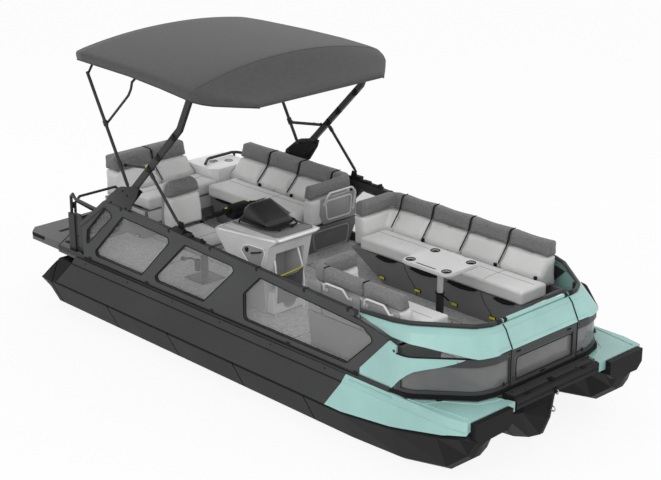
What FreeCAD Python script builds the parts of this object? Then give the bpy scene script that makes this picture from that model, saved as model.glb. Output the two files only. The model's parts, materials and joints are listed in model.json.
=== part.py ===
import FreeCAD, Part
import math
import os
import re
import Sketcher

# Three-hull jet pontoon boat, about 6.4 m long. Millimetres, +X to the bow, +Y to port, +Z up.
# Origin: middle of the length and beam, on the plane that the three keels stand on.

os.makedirs("parts", exist_ok=True)
doc = FreeCAD.newDocument("JetPontoonBoat")
sheet = doc.addObject("Spreadsheet::Sheet", "dims")

# Heights are from the keels, lengths from amidships, widths from the centreline.
SIZES = {
    # hulls
    "sternEnd": -2700, "sternTop": -2460, "hullMid": 1790, "midSeatAft": -1935, "shoulderX": 2350,
    "cheekX": 2850, "noseX": 3060, "hullTop": 560, "chineZ": 315, "chineY": 1275, "bilgeZ": 45,
    "bilgeY": 1130, "keelOut": 1060, "keelIn": 905, "bilgeIn": 820, "innerZ": 420, "innerY": 690,
    "topOutY": 1172, "seamPitch": 955, "seamFirst": -2510, "seamWidth": 14, "seamDepth": 7,
    "seamTop": 548, "sternWell": 70, "noseTip": 3170, "noseTopZ": 645, "centreHalf": 500,
    "centreChineZ": 330, "centreChineY": 450, "centreKeel": 150, "centreStern": -2560, "stemFoot": 2700,
    "stemKneeX": 2960, "stemKneeZ": 110, "stemTopX": 3080, "sternRise": 90, "sternTuck": 10,
    "shoulderRise": 18, "shoulderY": 1262, "shoulderZ": 370, "cheekRise": 105, "cheekY": 1225,
    "cheekZ": 455, "cheekTuck": 30, "noseRise": 270, "noseY": 1185, "noseZ": 500, "noseTuck": 60,
    "edgeRise": 400, "edgeY": 1150, "edgeZ": 515, "edgeTuck": 90, "edgeTuckIn": 40, "capIn": 650,
    "capOut": 1110, "capFootZ": 455, "capCheekZ": 520, "wellTop": 420, "wellMid": 250, "wellFoot": 140,
    "centreKeelFore": 100, "stemHalf": 420, "stemChineZ": 345, "stemKeel": 60, "stemRise": 50,
    "stemCheek": 300, "kneeHalf": 190, "kneeChineZ": 400, "kneeKeel": 22, "stemMidX": 3035,
    "stemMidZ": 290, "beakHalf": 90, "stemTopZ": 500,
    # deck
    "deckTop": 680, "deckUnder": 620, "deckHalf": 1180, "deckCorner": 1165, "deckAft": -2500,
    "deckAftMid": -2850, "chevronX": -2760, "chevronY": 800, "midAftY": 600, "turnX": 2460,
    "turnY": 1170, "cornerX": 2905, "cornerY": 785, "frontY": 600, "frontX": 2950, "bowHalf": 540,
    "bowEdge": 3115, "bowDeckTop": 668, "bowLip": 590, "platformAft": -3170, "platformHalf": 1090,
    "platformTop": 676, "platformUnder": 590, "panelGap": 6, "platformCorner": 90, "beamWide": 70,
    "beamPitch": 420, "beamFirst": -2300, "beamHalf": 1120, "deckWaist": 2270, "platformFore": -2566,
    # side covers
    "coverAftTop": -2170, "coverAftFoot": -2420, "coverForeTop": 1760, "coverForeFoot": 1575,
    "ledgeZ": 560, "ledgeOut": 1192, "coverTop": 653, "coverIn": 1183.5, "coverUnder": 612,
    "coverTuck": 15, "coverThick": 12, "skirtFlare": 82, "skirtFoot": 337, "toolLow": 300,
    "toolHigh": 700, "toolIn": 1100, "toolOut": 1300, "flareShoulder": 72, "footShoulder": 396,
    "tuckTurn": 18, "flareTurn": 65, "footTurn": 415, "underTurn": 606, "lipCorner": 1185,
    "flareCorner": 31, "footCorner": 498, "tuckCorner": 35, "lipFront": 1177, "footFront": 514,
    "lipEdge": 1146, "flareEdge": 20, "footEdge": 545, "tuckEdge": 28,
    # fences
    "fenceThick": 30, "fenceFoot": 680, "fenceAftX": -2030, "fenceAftZ": 1040, "fenceRakeX": -1640,
    "railAftX": -1450, "railAft": 1380, "railForeX": 1860, "railSlope": 0.036, "railDeep": 45,
    "railWide": 52, "railTongue": 1811, "railOut": 1190, "winFoot": 758, "winDrop": 92, "winRound": 38,
    "quarterRound": 20, "paneLap": 14, "winOneAft": -1880, "winOneFore": -1085, "winTwoAft": -925,
    "winTwoFore": -150, "winThreeAft": 425, "winThreeFore": 1755, "winThreeNose": 2085,
    "winThreeNoseZ": 1062, "winThreeTopFore": 1950, "winThreeNotch": 1003, "winThreeTopAft": 655,
    "quarterAft": -1975, "quarterFoot": 835, "quarterTopX": -1640, "quarterTopZ": 1300,
    "quarterForeX": -1535, "quarterForeZ": 1250, "quarterAftZ": 1000, "paneThick": 6,
    "fenceNoseX": 2245, "fenceNoseZ": 1108, "fenceHeelX": 1910, "fenceHeelZ": 763, "winLean": 500,
    "winThreeTopForeZ": 1146, "winThreeTopAftZ": 1220, "quarterLowX": -1951, "tongueZ": 1208,
    # bow panels
    "wallThick": 32, "bandFoot": 1030, "bandTop": 1228, "bandCrease": 1186, "creaseShare": 0.66,
    "bandWall": 26, "bandBend": 170, "lowBend": 240, "doorHalf": 430, "doorGap": 8, "bowRailR": 19,
    "bowRailZ": 1248, "bandTipX": 1835, "bandTipZ": 1222, "bandKneeX": 2250, "bandKneeZ": 1130,
    "lowTop": 1026, "lowFront": 2948, "bandFootFront": 2957, "bandTopFront": 2838, "bowRailX": 2822,
    "lowWinRear": 2385, "arrisX": 2333, "armFoot": 747, "armThick": 7, "lowWinFoot": 730,
    "lowWinTop": 950, "lowWinFore": 640, "bandFootY1": 1180, "bandFootY2": 1178, "bandFootX3": 2440,
    "bandFootY3": 1128, "bandFootX4": 2620, "bandFootY4": 1005, "bandFootX5": 2905, "bandFootY5": 800,
    "bandFootX6": 2962, "bandFootY6": 640, "bandTopY1": 1115, "bandTopX2": 2190, "bandTopY2": 1080,
    "bandTopX3": 2345, "bandTopY3": 1020, "bandTopX4": 2540, "bandTopY4": 870, "bandTopX5": 2760,
    "bandTopY5": 700, "bandTopX6": 2835, "bandTopY6": 560, "lowY1": 1176, "lowX2": 2460, "lowY2": 1167,
    "lowX3": 2902, "lowY3": 782, "lowY4": 600, "armX1": 2300, "armX2": 2300, "armX3": 2383,
    "armZ3": 801, "armX4": 2452, "armZ4": 864, "armX5": 2501, "armZ5": 899, "armX6": 2562, "armZ6": 920,
    "armX7": 2660, "armZ7": 947, "armX8": 2758, "armZ8": 985, "armX9": 2818, "armZ9": 1018,
    "armX10": 2818, "armZ10": 1100, "armX11": 3000, "armZ11": 1100, "armX12": 3000, "bandCutY": 700,
    "railY1": 1112, "railY2": 1062, "railX3": 2335, "railY3": 1004, "railX4": 2528, "railY4": 857,
    "railX5": 2748, "railY5": 686,
    # stern corner posts, rails and gate
    "postX": -2340, "postY": 1085, "postR": 16, "postTop": 1318, "sternRailZ": 1255, "railTubeR": 13,
    "bendRun": 24, "tubeSides": 10, "pipeSides": 24, "quarterRailIn": 700, "gateX": -2340,
    "gateHinge": 1040, "gateEnd": 470, "gateTop": 1215, "gateFoot": 730, "gateTubeR": 14,
    "gatePanel": 8, "gateMidZ": 1000, "postFore": 120, "quarterRailY": 1120, "quarterRailX": -1800,
    "quarterRailOut": 1163, "postPanelTop": 1086,
    # seats
    "backY": 1085, "bowBackY": 1012, "seatTop": 1140, "seatFoot": 1005, "seatFront": 345,
    "creaseY": 745, "baseFront": 400, "baseToe": 495, "baseTop": 1000, "wall": 25, "headTop": 1450,
    "headFoot": 1300, "headFront": 945, "headTopFront": 985, "backFoot": 1003, "seatGap": 8,
    "padRound": 28, "midAft": -2040, "midFore": -380, "midReturn": 150, "midToeFore": -530,
    "bowPortAft": 170, "bowPortFore": 2380, "bowPortBackFore": 2255, "bowPortSplit": 1410,
    "bowPortToeAft": 560, "bowReturn": 150, "returnIn": 430, "bowStarAft": 1085, "bowStarFore": 2270,
    "bowStarBackFore": 2230, "bowStarFront": 430, "sternBackX": -2700, "sternCrease": -2330,
    "sternFront": -1950, "sternStar": -405, "sternPort": 550, "sternHeadFront": -2530,
    "sternToe": -2060, "cornerTop": 1222, "cornerIn": 560, "cornerFore": -2050, "cupR": 42,
    "cupDeep": 60, "cupSides": 20, "cupOneY": 760, "cupTwoY": 900, "cupX": -2300, "cornerAft": -2520,
    "cornerOut": 1060,
    # helm
    "helmY": -620, "helmHalf": 265, "helmAft": -300, "helmFootAft": -40, "helmFootFore": 330,
    "helmFootHalf": 205, "helmCubbyTop": 1290, "helmCubbyAft": 170, "hoodSlope": 0.02, "hoodAft": -110,
    "hoodHalf": 160, "hoodLow": 1480, "barHalf": 335, "barR": 11, "gripR": 17, "gripLong": 125,
    "columnR": 24, "columnLean": 29, "columnLong": 120, "kneeAft": -62, "kneeAftZ": 1000,
    "kneeFore": 410, "kneeForeZ": 1060, "waistAft": -105, "waistAftZ": 1163, "waistFore": 430,
    "waistForeZ": 1200, "rimAftZ": 1372, "rimFore": 560, "rimForeZ": 1452, "stemFootX": -208,
    "stemFootZ": 1431, "hoodLong": 432, "hoodWide": 320, "hoodCorner": 44,
    # captain's chair
    "chairX": -760, "chairY": -655, "plateSide": 280, "plateThick": 12, "pedR": 38, "pedTop": 1000,
    "chairSeatAft": -1060, "chairSeatFore": -560, "chairHalf": 225, "chairSeatTop": 1150,
    "chairBackTop": 1610, "swivelR": 90, "swivelThick": 18, "swivelGap": 2,
    # table
    "tableX": 1770, "tableY": -30, "tableLong": 560, "tableWide": 450, "tableTop": 1385,
    "tableThick": 32, "tubeLowR": 36, "tubeLowTop": 1090, "tubeUpR": 28, "tubeFit": 0.06,
    "tubeBoreFoot": 790, "tubeUpFoot": 1010, "tableCupR": 40, "tableCupDeep": 18, "tableCupIn": 65,
    "tableRound": 70, "footR": 110, "footThick": 12,
    # folding top
    "mainX": -1250, "mainZ": 1530, "mainY": 1160, "mainWide": 60, "mainThick": 36, "mainElbowX": -440,
    "mainElbowZ": 2350, "mainTopX": -270, "mainTopZ": 2690, "crossR": 17, "hoopBend": 160,
    "rearX": -1320, "rearZ": 1560, "rearY": 1108, "rearTopX": -1980, "rearTopZ": 2735, "hoopR": 12.5,
    "middleX": -1655, "middleZ": 2157, "middleY": 1078, "middleTopX": -1210, "middleTopZ": 2735,
    "middleKneeX": -1275, "middleKneeZ": 2520, "frontX0": -233, "frontY0": 1120, "frontTopX": 150,
    "frontHalf": 690, "frontZ": 2655, "linkAftX": -1390, "linkAftZ": 1785, "linkForeX": -950,
    "linkForeZ": 1850, "linkY": 1080, "linkWide": 30, "linkThick": 8, "strutTopX": -897,
    "strutTopZ": 1828, "strutFootX": -500, "strutFootZ": 1425, "strutR": 12, "bracketY": 1126,
    "bracketThick": 10, "canopyAft": -2095, "canopyFore": 240, "canopyThick": 14, "crownRise": 0.1,
    "bracketFoot": 1326,
    # drive
    "engineAft": -1900, "engineFore": -1150, "engineHalf": 240, "engineFoot": 150, "engineTop": 545,
    "shaftZ": 200, "pumpAft": -2790, "pumpR": 100, "pumpBore": 80, "impellerR": 75.5, "hubRadius": 26,
    "impellerX": -2690, "impellerLong": 70, "bladeCount": 4, "bladeThick": 5, "nozzleAft": -2960,
    "nozzleR": 62, "nozzleBore": 48, "nozzlePivotX": -2830, "bucketR": 152, "bucketHalf": 127,
    "bucketPivotX": -2850,
    # boarding ladder
    "ladderX": -3130, "ladderZ": 560, "ladderY": 400, "ladderHalf": 190, "ladderLong": 530,
    "ladderR": 13, "rungR": 11, "rungFirst": 150, "rungPitch": 200,
}
for number, (alias, amount) in enumerate(SIZES.items(), start=1):
    sheet.set("A%d" % number, alias)
    sheet.set("B%d" % number, str(amount))
    sheet.setAlias("B%d" % number, alias)
doc.recompute()

kept = {}
AXES = {"X": FreeCAD.Vector(1, 0, 0), "Y": FreeCAD.Vector(0, 1, 0), "Z": FreeCAD.Vector(0, 0, 1)}


def tie(text):
    """the same formula, with each size read from the sheet"""
    return re.sub(r"[A-Za-z]\w*", lambda word: "dims." + word.group(), str(text))


def value(text):
    return float(sheet.evalExpression(str(text)))


def spot(x, y, z):
    return FreeCAD.Vector(value(x), value(y), value(z))


def keep(label, piece):
    """this object becomes the sub-part of that name"""
    piece.Label = label
    kept[label] = piece
    return piece


def newBody(label):
    body = doc.addObject("PartDesign::Body", label)
    body.AllowCompound = True
    return body


def sketchOn(body, plane, outlines, start):
    """closed outlines on one of the body's own planes, every corner held by the sheet"""
    sketch = body.newObject("Sketcher::SketchObject", "Outline")
    face = [item for item in body.Origin.OriginFeatures if item.Role == plane][0]
    sketch.AttachmentSupport = [(face, "")]
    sketch.MapMode = "FlatFace"
    sketch.setExpression("AttachmentOffset.Base.z", tie(start))
    for outline in outlines:
        first = sketch.GeometryCount
        count = len(outline)
        corners = [FreeCAD.Vector(value(a), value(b), 0) for a, b in outline]
        for step in range(count):
            sketch.addGeometry(Part.LineSegment(corners[step], corners[(step + 1) % count]), False)
        for step in range(count):
            following = first + (step + 1) % count
            sketch.addConstraint(Sketcher.Constraint("Coincident", first + step, 2, following, 1))
        for step, corner in enumerate(outline):
            for kind, formula in zip(("DistanceX", "DistanceY"), corner):
                rule = Sketcher.Constraint(kind, first + step, 1, value(formula))
                index = sketch.addConstraint(rule)
                sketch.setExpression("Constraints[%d]" % index, tie(formula))
    return sketch


def grow(body, plane, outlines, start, length):
    pad = body.newObject("PartDesign::Pad", "Pad")
    pad.Profile = sketchOn(body, plane, outlines, start)
    pad.setExpression("Length", tie(length))
    doc.recompute()
    return pad


def cut(body, plane, outlines, start, length):
    """a pocket from start along the plane's normal, which must take material away"""
    before = body.Shape.Volume
    pocket = body.newObject("PartDesign::Pocket", "Pocket")
    pocket.Profile = sketchOn(body, plane, outlines, start)
    pocket.Reversed = True
    pocket.setExpression("Length", tie(length))
    doc.recompute()
    if not body.Shape.Volume < before - 1:
        raise RuntimeError(body.Name + " has a pocket that cuts nothing")
    return pocket


def growX(body, outlines, low, high):
    return grow(body, "YZ_Plane", outlines, low, f"({high}) - ({low})")


def growY(body, outlines, low, high):
    return grow(body, "XZ_Plane", outlines, f"-({high})", f"({high}) - ({low})")


def growZ(body, outlines, low, high):
    return grow(body, "XY_Plane", outlines, low, f"({high}) - ({low})")


def cutX(body, outlines, low, high):
    return cut(body, "YZ_Plane", outlines, low, f"({high}) - ({low})")


def cutY(body, outlines, low, high):
    return cut(body, "XZ_Plane", outlines, f"-({high})", f"({high}) - ({low})")


def cutZ(body, outlines, low, high):
    return cut(body, "XY_Plane", outlines, low, f"({high}) - ({low})")


def panelled(rings):
    """solid with flat panels between outlines, each panel split along its shorter diagonal"""
    faces = [Part.Face(Part.makePolygon(ring + ring[:1])) for ring in (rings[0], rings[-1])]
    for near, far in zip(rings, rings[1:]):
        for step in range(len(near)):
            after = (step + 1) % len(near)
            a, b, c, d = near[step], near[after], far[after], far[step]
            halves = ((a, b, c), (a, c, d)) if (c - a).Length < (d - b).Length else ((a, b, d),
                                                                                     (b, c, d))
            for corners in halves:
                if (corners[1] - corners[0]).cross(corners[2] - corners[0]).Length > 1:
                    faces.append(Part.Face(Part.makePolygon([*corners, corners[0]])))
    solid = Part.Solid(Part.Shell(faces))
    if solid.Volume < 0:
        solid.reverse()
    return solid.removeSplitter()


def loft(body, plane, stations):
    """the body starts as a panelled solid through outlines at several places along the plane's normal"""
    rings = []
    for place, outline in stations:
        at = value(place)
        flat = [(value(a), value(b)) for a, b in outline]
        upright = plane == "YZ_Plane"
        rings.append([FreeCAD.Vector(at, a, b) if upright else FreeCAD.Vector(a, b, at) for a, b in flat])
    skin = doc.addObject("Part::Feature", body.Name + "Skin")
    skin.Shape = panelled(rings)
    body.BaseFeature = skin
    doc.recompute()
    return skin


def soften(body, radius, axis, corners=None, kind="Fillet"):
    """rounds or chamfers the edges that run along axis, all of them or those through the named corners"""
    tip = body.Tip
    across = [name for name in "XYZ" if name != axis]
    wanted = []
    for number, edge in enumerate(tip.Shape.Edges, start=1):
        if edge.Curve.TypeId != "Part::GeomLine":
            continue
        if abs(edge.tangentAt(edge.FirstParameter).dot(AXES[axis])) < 0.999:
            continue
        middle = edge.CenterOfMass
        seen = (middle.dot(AXES[across[0]]), middle.dot(AXES[across[1]]))
        if corners is None or any(math.dist(seen, (value(a), value(b))) < 1 for a, b in corners):
            wanted.append("Edge%d" % number)
    trim = body.newObject("PartDesign::" + kind, kind)
    trim.Base = (tip, wanted)
    trim.setExpression("Radius" if kind == "Fillet" else "Size", tie(radius))
    doc.recompute()
    return trim


def box(label, low, high):
    """block from one corner to the opposite one"""
    block = doc.addObject("Part::Box", label)
    for side, axis, a, b in zip(("Length", "Width", "Height"), "xyz", low, high):
        block.setExpression(side, tie(f"({b}) - ({a})"))
        block.setExpression("Placement.Base." + axis, tie(a))
    return block


def rod(label, radius, length, x, y, z, axis="Z"):
    """round bar from a point along an axis"""
    bar = doc.addObject("Part::Cylinder", label)
    bar.setExpression("Radius", tie(radius))
    bar.setExpression("Height", tie(length))
    turns = {"Z": (FreeCAD.Vector(0, 0, 1), 0), "X": (FreeCAD.Vector(0, 1, 0), 90),
             "Y": (FreeCAD.Vector(1, 0, 0), -90)}
    bar.Placement.Rotation = FreeCAD.Rotation(*turns[axis])
    for letter, formula in zip("xyz", (x, y, z)):
        bar.setExpression("Placement.Base." + letter, tie(formula))
    return bar


def mirrored(label, source):
    twin = doc.addObject("Part::Mirroring", label)
    twin.Source = source
    twin.Normal = AXES["Y"]
    return twin


def bothSides(label, port):
    """one node that holds the port piece and its starboard twin"""
    port.Label = label + " port half"
    pair = doc.addObject("Part::Compound", label)
    pair.Links = [port, mirrored(label + "Twin", port)]
    return keep(label, pair)


def fused(label, pieces):
    union = doc.addObject("Part::MultiFuse", label)
    union.Shapes = pieces
    return union


def bentPath(points, bend, runs=None):
    """straight runs joined by bends, each bend a few short runs along its arc"""
    route = [points[0]]
    for here, corner, after in zip(points, points[1:], points[2:]):
        inward = (here - corner).normalize()
        outward = (after - corner).normalize()
        half = inward.getAngle(outward) / 2
        reach = min(bend / math.tan(half), 0.48 * min((here - corner).Length, (after - corner).Length))
        radius = reach * math.tan(half)
        centre = corner + (inward + outward).normalize() * (radius / math.sin(half))
        first = corner + inward * reach - centre
        turn = FreeCAD.Rotation(inward.cross(outward), math.degrees(2 * half - math.pi))
        steps = runs or max(1, round(math.degrees(turn.Angle) / value("bendRun")))
        for step in range(steps + 1):
            part = FreeCAD.Rotation(turn.Axis, math.degrees(turn.Angle) * step / steps)
            route.append(centre + part.multVec(first))
    return Part.makePolygon(route + [points[-1]])


def tubeShape(points, radius, bend, sides=None):
    """round bar drawn with flat sides, along straight runs and bends"""
    path = bentPath(points, bend)
    sides = int(sides or value("tubeSides"))
    upright = FreeCAD.Rotation(AXES["Z"], points[1] - points[0])
    ring = []
    for side in range(sides):
        angle = 2 * math.pi * (side + 0.5) / sides
        ring.append(points[0] + upright.multVec(FreeCAD.Vector(math.cos(angle), math.sin(angle),
                                                               0)) * radius)
    return path.makePipeShell([Part.makePolygon(ring + ring[:1])], True, False, 1)


def roundBar(start, way, length, radius, sides=None):
    return tubeShape([start, start + way * length], radius, 0, sides)


def shapeNode(label, shape):
    piece = doc.addObject("Part::Feature", label)
    piece.Shape = shape
    return keep(label, piece)


def railAt(x):
    """height of the fence rail's top at a length"""
    return f"(railAft - (({x}) - railAftX) * railSlope)"


# Hulls

def pontoonStation(x, rise, chineY, chineZ, tuckOut, tuckIn):
    """one cross-section of the port pontoon, from the top inner corner round the chine and keel"""
    outline = [("innerY + " + tuckIn, "hullTop"), ("topOutY - " + tuckOut, "hullTop")]
    outline += [(chineY + " - 18", chineZ + " + 20"), (chineY, chineZ)]
    outline += [("bilgeY - " + tuckOut, "bilgeZ + " + rise), ("keelOut - " + tuckOut, rise)]
    outline += [("keelIn + " + tuckIn, rise), ("bilgeIn + " + tuckIn, "bilgeZ + " + rise)]
    outline += [("innerY + " + tuckIn, "innerZ + " + rise + " / 4")]
    return x, outline


pontoon = newBody("pontoonPort")
loft(pontoon, "YZ_Plane", [
    pontoonStation("sternEnd", "sternRise", "chineY - 15", "chineZ", "sternTuck", "sternTuck * 2"),
    pontoonStation("sternEnd + 120", "0", "chineY", "chineZ", "0", "0"),
    pontoonStation("hullMid", "0", "chineY", "chineZ", "0", "0"),
    pontoonStation("shoulderX", "shoulderRise", "shoulderY", "shoulderZ", "10", "0"),
    pontoonStation("cheekX", "cheekRise", "cheekY", "cheekZ", "cheekTuck", "0"),
    pontoonStation("noseX", "noseRise", "noseY", "noseZ", "noseTuck", "noseTuck / 4"),
    pontoonStation("bowEdge", "edgeRise", "edgeY", "edgeZ", "edgeTuck", "edgeTuckIn"),
])
cutY(pontoon, [[("sternEnd - 20", "chineZ - 20"), ("sternEnd - 20", "hullTop + 20"),
                ("sternTop", "hullTop + 20")]],
     "innerY - 20", "chineY + 20")
growX(pontoon, [[("capIn", "capCheekZ"), ("capIn + 50", "capFootZ + 15"), ("capOut - 70", "capFootZ"),
                 ("capOut", "capCheekZ"), ("capOut", "noseTopZ"), ("capIn", "noseTopZ")]], "bowEdge",
      "noseTip")
groove = cutX(pontoon, [[("innerY - 30", "-20"), ("chineY + 30", "-20"), ("chineY + 30", "seamTop"),
                         ("innerY - 30", "seamTop")],
                        [("innerY + seamDepth", "seamTop - 10"),
                         ("topOutY - seamDepth", "seamTop - 10"),
                         ("chineY - 18 - seamDepth", "chineZ + 20"), ("chineY - seamDepth", "chineZ"),
                         ("bilgeY - seamDepth", "bilgeZ"), ("keelOut - 4", "seamDepth"),
                         ("keelIn + 4", "seamDepth"),
                         ("bilgeIn + seamDepth", "bilgeZ"), ("innerY + seamDepth", "innerZ")]],
              "seamFirst", "seamFirst + seamWidth")
seams = pontoon.newObject("PartDesign::LinearPattern", "ModuleSeams")
seams.Originals = [groove]
seams.Direction = (pontoon.Origin.OriginFeatures[0], [""])
seams.setExpression("Length", tie("seamPitch * 4"))
seams.Occurrences = 5
pontoon.Tip = seams
doc.recompute()
cutX(pontoon, [[("innerY + 45", "wellTop"), ("innerY + 110", "wellMid"), ("bilgeIn + 75", "wellFoot"),
                ("keelOut - 30", "wellFoot"), ("chineY - 110", "wellMid + 20"),
                ("topOutY - 75", "wellTop")]],
     "sternEnd - 5", "sternEnd + sternWell")
keep("pontoon_port", pontoon)
keep("pontoon_starboard", mirrored("pontoonStarboard", pontoon))


def centreStation(x, rise, top, chineY, chineZ, keel):
    port = [(keel, rise), (chineY, chineZ), (top, "hullTop")]
    starboard = [("-" + y, z) for y, z in reversed(port)]
    return x, port + starboard


centreHull = newBody("centreHull")
loft(centreHull, "YZ_Plane", [
    centreStation("centreStern", "0", "centreHalf", "centreChineY", "centreChineZ", "centreKeel"),
    centreStation("shoulderX", "0", "centreHalf", "centreChineY", "centreChineZ", "centreKeelFore"),
    centreStation("stemFoot", "12", "stemHalf", "stemHalf - 80", "stemChineZ", "stemKeel"),
    centreStation("cheekX", "stemRise", "stemCheek", "stemCheek - 90", "stemChineZ + 25",
                  "stemKeel * 0.6"),
    centreStation("stemKneeX", "stemKneeZ", "kneeHalf", "kneeHalf - 80", "kneeChineZ", "kneeKeel"),
    centreStation("stemMidX", "stemMidZ", "beakHalf", "beakHalf / 2", "kneeChineZ + 40", "14"),
    centreStation("stemTopX - 10", "stemTopZ", "34", "20", "stemTopZ + 30", "12"),
])
cutZ(centreHull, [[("engineAft - 10", "-engineHalf - 10"), ("engineFore + 10", "-engineHalf - 10"),
                   ("engineFore + 10", "engineHalf + 10"), ("engineAft - 10", "engineHalf + 10")]],
     "engineFoot", "hullTop + 10")
keep("centre_hull", centreHull)

beams = newBody("crossBeams")
beam = growZ(beams, [[("beamFirst", "-beamHalf"), ("beamFirst + beamWide", "-beamHalf"),
                      ("beamFirst + beamWide", "beamHalf"), ("beamFirst", "beamHalf")]], "hullTop",
             "deckUnder")
row = beams.newObject("PartDesign::LinearPattern", "BeamRow")
row.Originals = [beam]
row.Direction = (beams.Origin.OriginFeatures[0], [""])
row.setExpression("Length", tie("beamPitch * 11"))
row.Occurrences = 12
beams.Tip = row
doc.recompute()
keep("cross_beams", beams)
keep("engine_block", box("engineBlock", ("engineAft", "-engineHalf", "engineFoot"),
                         ("engineFore", "engineHalf", "engineTop")))


# Deck, covers and platform

def bothWays(port):
    """a plan outline closed by its reflection across the centreline"""
    return port + [(x, "-(" + y + ")") for x, y in reversed(port)]


deck = newBody("deckBody")
growZ(deck, [bothWays([("frontX", "frontY"), ("cornerX", "cornerY"), ("turnX", "turnY"),
                       ("deckWaist", "deckHalf"),
                       ("deckAft", "deckCorner"), ("chevronX", "chevronY"),
                       ("deckAftMid", "midAftY")])],
      "deckUnder", "deckTop")
keep("deck", deck)

platform = newBody("platformBody")
growZ(platform, [bothWays([("deckAftMid - panelGap", "midAftY + 4"),
                           ("chevronX - panelGap", "chevronY + 4"),
                           ("platformFore", "platformHalf"),
                           ("platformAft + platformCorner", "platformHalf"),
                           ("platformAft", "platformHalf - platformCorner")])], "platformUnder",
      "platformTop")
keep("swim_platform", platform)

bowDeck = newBody("bowDeckBody")
growZ(bowDeck, [bothWays([("frontX + panelGap", "bowHalf"), ("bowEdge - 26", "bowHalf - 10")])],
      "bowLip", "bowDeckTop")
growY(bowDeck, [[("bowEdge - 26", "bowLip - 22"), ("bowEdge - 6", "bowLip - 22"),
                 ("bowEdge + 6", "bowLip - 12"),
                 ("bowEdge + 6", "bowLip + 12"), ("bowEdge - 4", "bowLip + 22"),
                 ("bowEdge + 6", "bowLip + 32"),
                 ("bowEdge + 6", "bowDeckTop - 14"), ("bowEdge - 6", "bowDeckTop - 4"),
                 ("bowEdge - 26", "bowDeckTop")]],
      "-bowHalf - 8", "bowHalf + 8")
keep("bow_deck", bowDeck)

def coverOutline(inner, lip, flare, foot, tuck, under):
    """section of the cladding: shelf, lip, ledge and the skirt that flares out over the pontoon"""
    return [(inner, "coverTop"), (lip, "coverTop"), (lip + " + 2", "ledgeZ + 8"),
            (lip + " - 2", "ledgeZ"),
            (lip + " + " + flare, foot), (lip + " + " + flare + " - coverThick", foot + " - 3"),
            (lip + " - " + tuck, "ledgeZ + 4"), (inner, under)]


alongside = coverOutline("coverIn", "ledgeOut - 1", "skirtFlare", "skirtFoot", "coverTuck",
                         "coverUnder")
sideCover = newBody("sideCover")
growX(sideCover, [alongside], "coverAftFoot - 30", "coverForeTop + 40")
cutY(sideCover, [[("coverAftFoot - 40", "toolLow"), ("coverAftFoot - 27", "toolLow"),
                  ("coverAftTop + 35", "toolHigh"),
                  ("coverAftFoot - 40", "toolHigh")]], "toolIn", "toolOut")
cutY(sideCover, [[("coverForeFoot - 20", "toolLow"), ("coverForeTop + 60", "toolLow"),
                  ("coverForeTop + 60", "toolHigh"),
                  ("coverForeTop + 26", "toolHigh")]], "toolIn", "toolOut")
bothSides("side_covers", sideCover)

bowCover = newBody("bowCover")
loft(bowCover, "YZ_Plane", [
    ("coverForeFoot - 20", alongside),
    ("hullMid - 5", alongside),
    ("shoulderX", coverOutline("coverIn", "ledgeOut - 3", "flareShoulder", "footShoulder", "tuckTurn",
                               "coverUnder")),
    ("turnX + 1", coverOutline("turnY + 6", "ledgeOut - 4", "flareTurn", "footTurn", "tuckTurn",
                               "underTurn")),
    ("turnX + 20", coverOutline("turnY - 10", "ledgeOut - 4", "flareTurn - 2", "footTurn + 3",
                                "tuckTurn", "underTurn")),
    ("cornerX", coverOutline("cornerY + 7", "lipCorner", "flareCorner", "footCorner", "tuckCorner",
                             "ledgeZ + 3")),
    ("frontX + 6", coverOutline("frontY + 8", "lipFront", "flareCorner", "footFront", "tuckCorner",
                                "ledgeZ + 3")),
    ("bowEdge - 4", coverOutline("bowHalf + 20", "lipEdge", "flareEdge", "footEdge", "tuckEdge",
                                 "ledgeZ + 3")),
])
cutY(bowCover, [[("coverForeFoot - 40", "toolLow"), ("coverForeFoot - 17", "toolLow"),
                 ("coverForeTop + 29", "toolHigh"),
                 ("coverForeFoot - 40", "toolHigh")]], "toolIn", "toolOut")
bothSides("bow_covers", bowCover)


# Fences

def windows(inset):
    """the four openings of a fence, each edge moved inwards by the inset"""
    gap = f"({inset})"
    wide = f"2.4 * ({inset})"
    made = []
    for aft, fore in (("winOneAft", "winOneFore"), ("winTwoAft", "winTwoFore")):
        rise = "winLean"
        made.append([(f"{aft} + {wide}", f"winFoot + {gap}"), (f"{fore} - {gap}", f"winFoot + {gap}"),
                     (f"{fore} + {rise} - {wide}", f"{railAt(fore + ' + ' + rise)} - winDrop - {gap}"),
                     (f"{aft} + {rise} + 25 + {gap}",
                      f"{railAt(aft + ' + winLean + 25')} - winDrop - {gap}")])
    made.append([(f"winThreeAft + {gap}", f"winFoot - 6 + {gap}"),
                 (f"winThreeFore - {gap}", f"winFoot - 6 + {gap}"),
                 (f"winThreeNose - {wide}", f"winThreeNoseZ - {gap}"),
                 (f"winThreeTopFore - {gap}", f"winThreeTopForeZ - {gap}"),
                 (f"winThreeTopAft + {gap}", f"winThreeTopAftZ - {gap}"),
                 (f"winThreeAft + {gap}", f"winThreeNotch - {gap}")])
    small = f"({inset}) / 4"
    made.append([(f"quarterAft + {small}", f"quarterFoot + 2.4 * {small}"),
                 (f"quarterForeX - {small}", f"quarterForeZ - 20 + {small}"),
                 (f"quarterForeX - {small}", f"quarterForeZ + 25 - {small}"),
                 (f"quarterTopX + {small}", f"quarterTopZ + 8 - {small}"),
                 (f"quarterLowX + {small}", f"quarterAftZ - {small}")])
    return made


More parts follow.
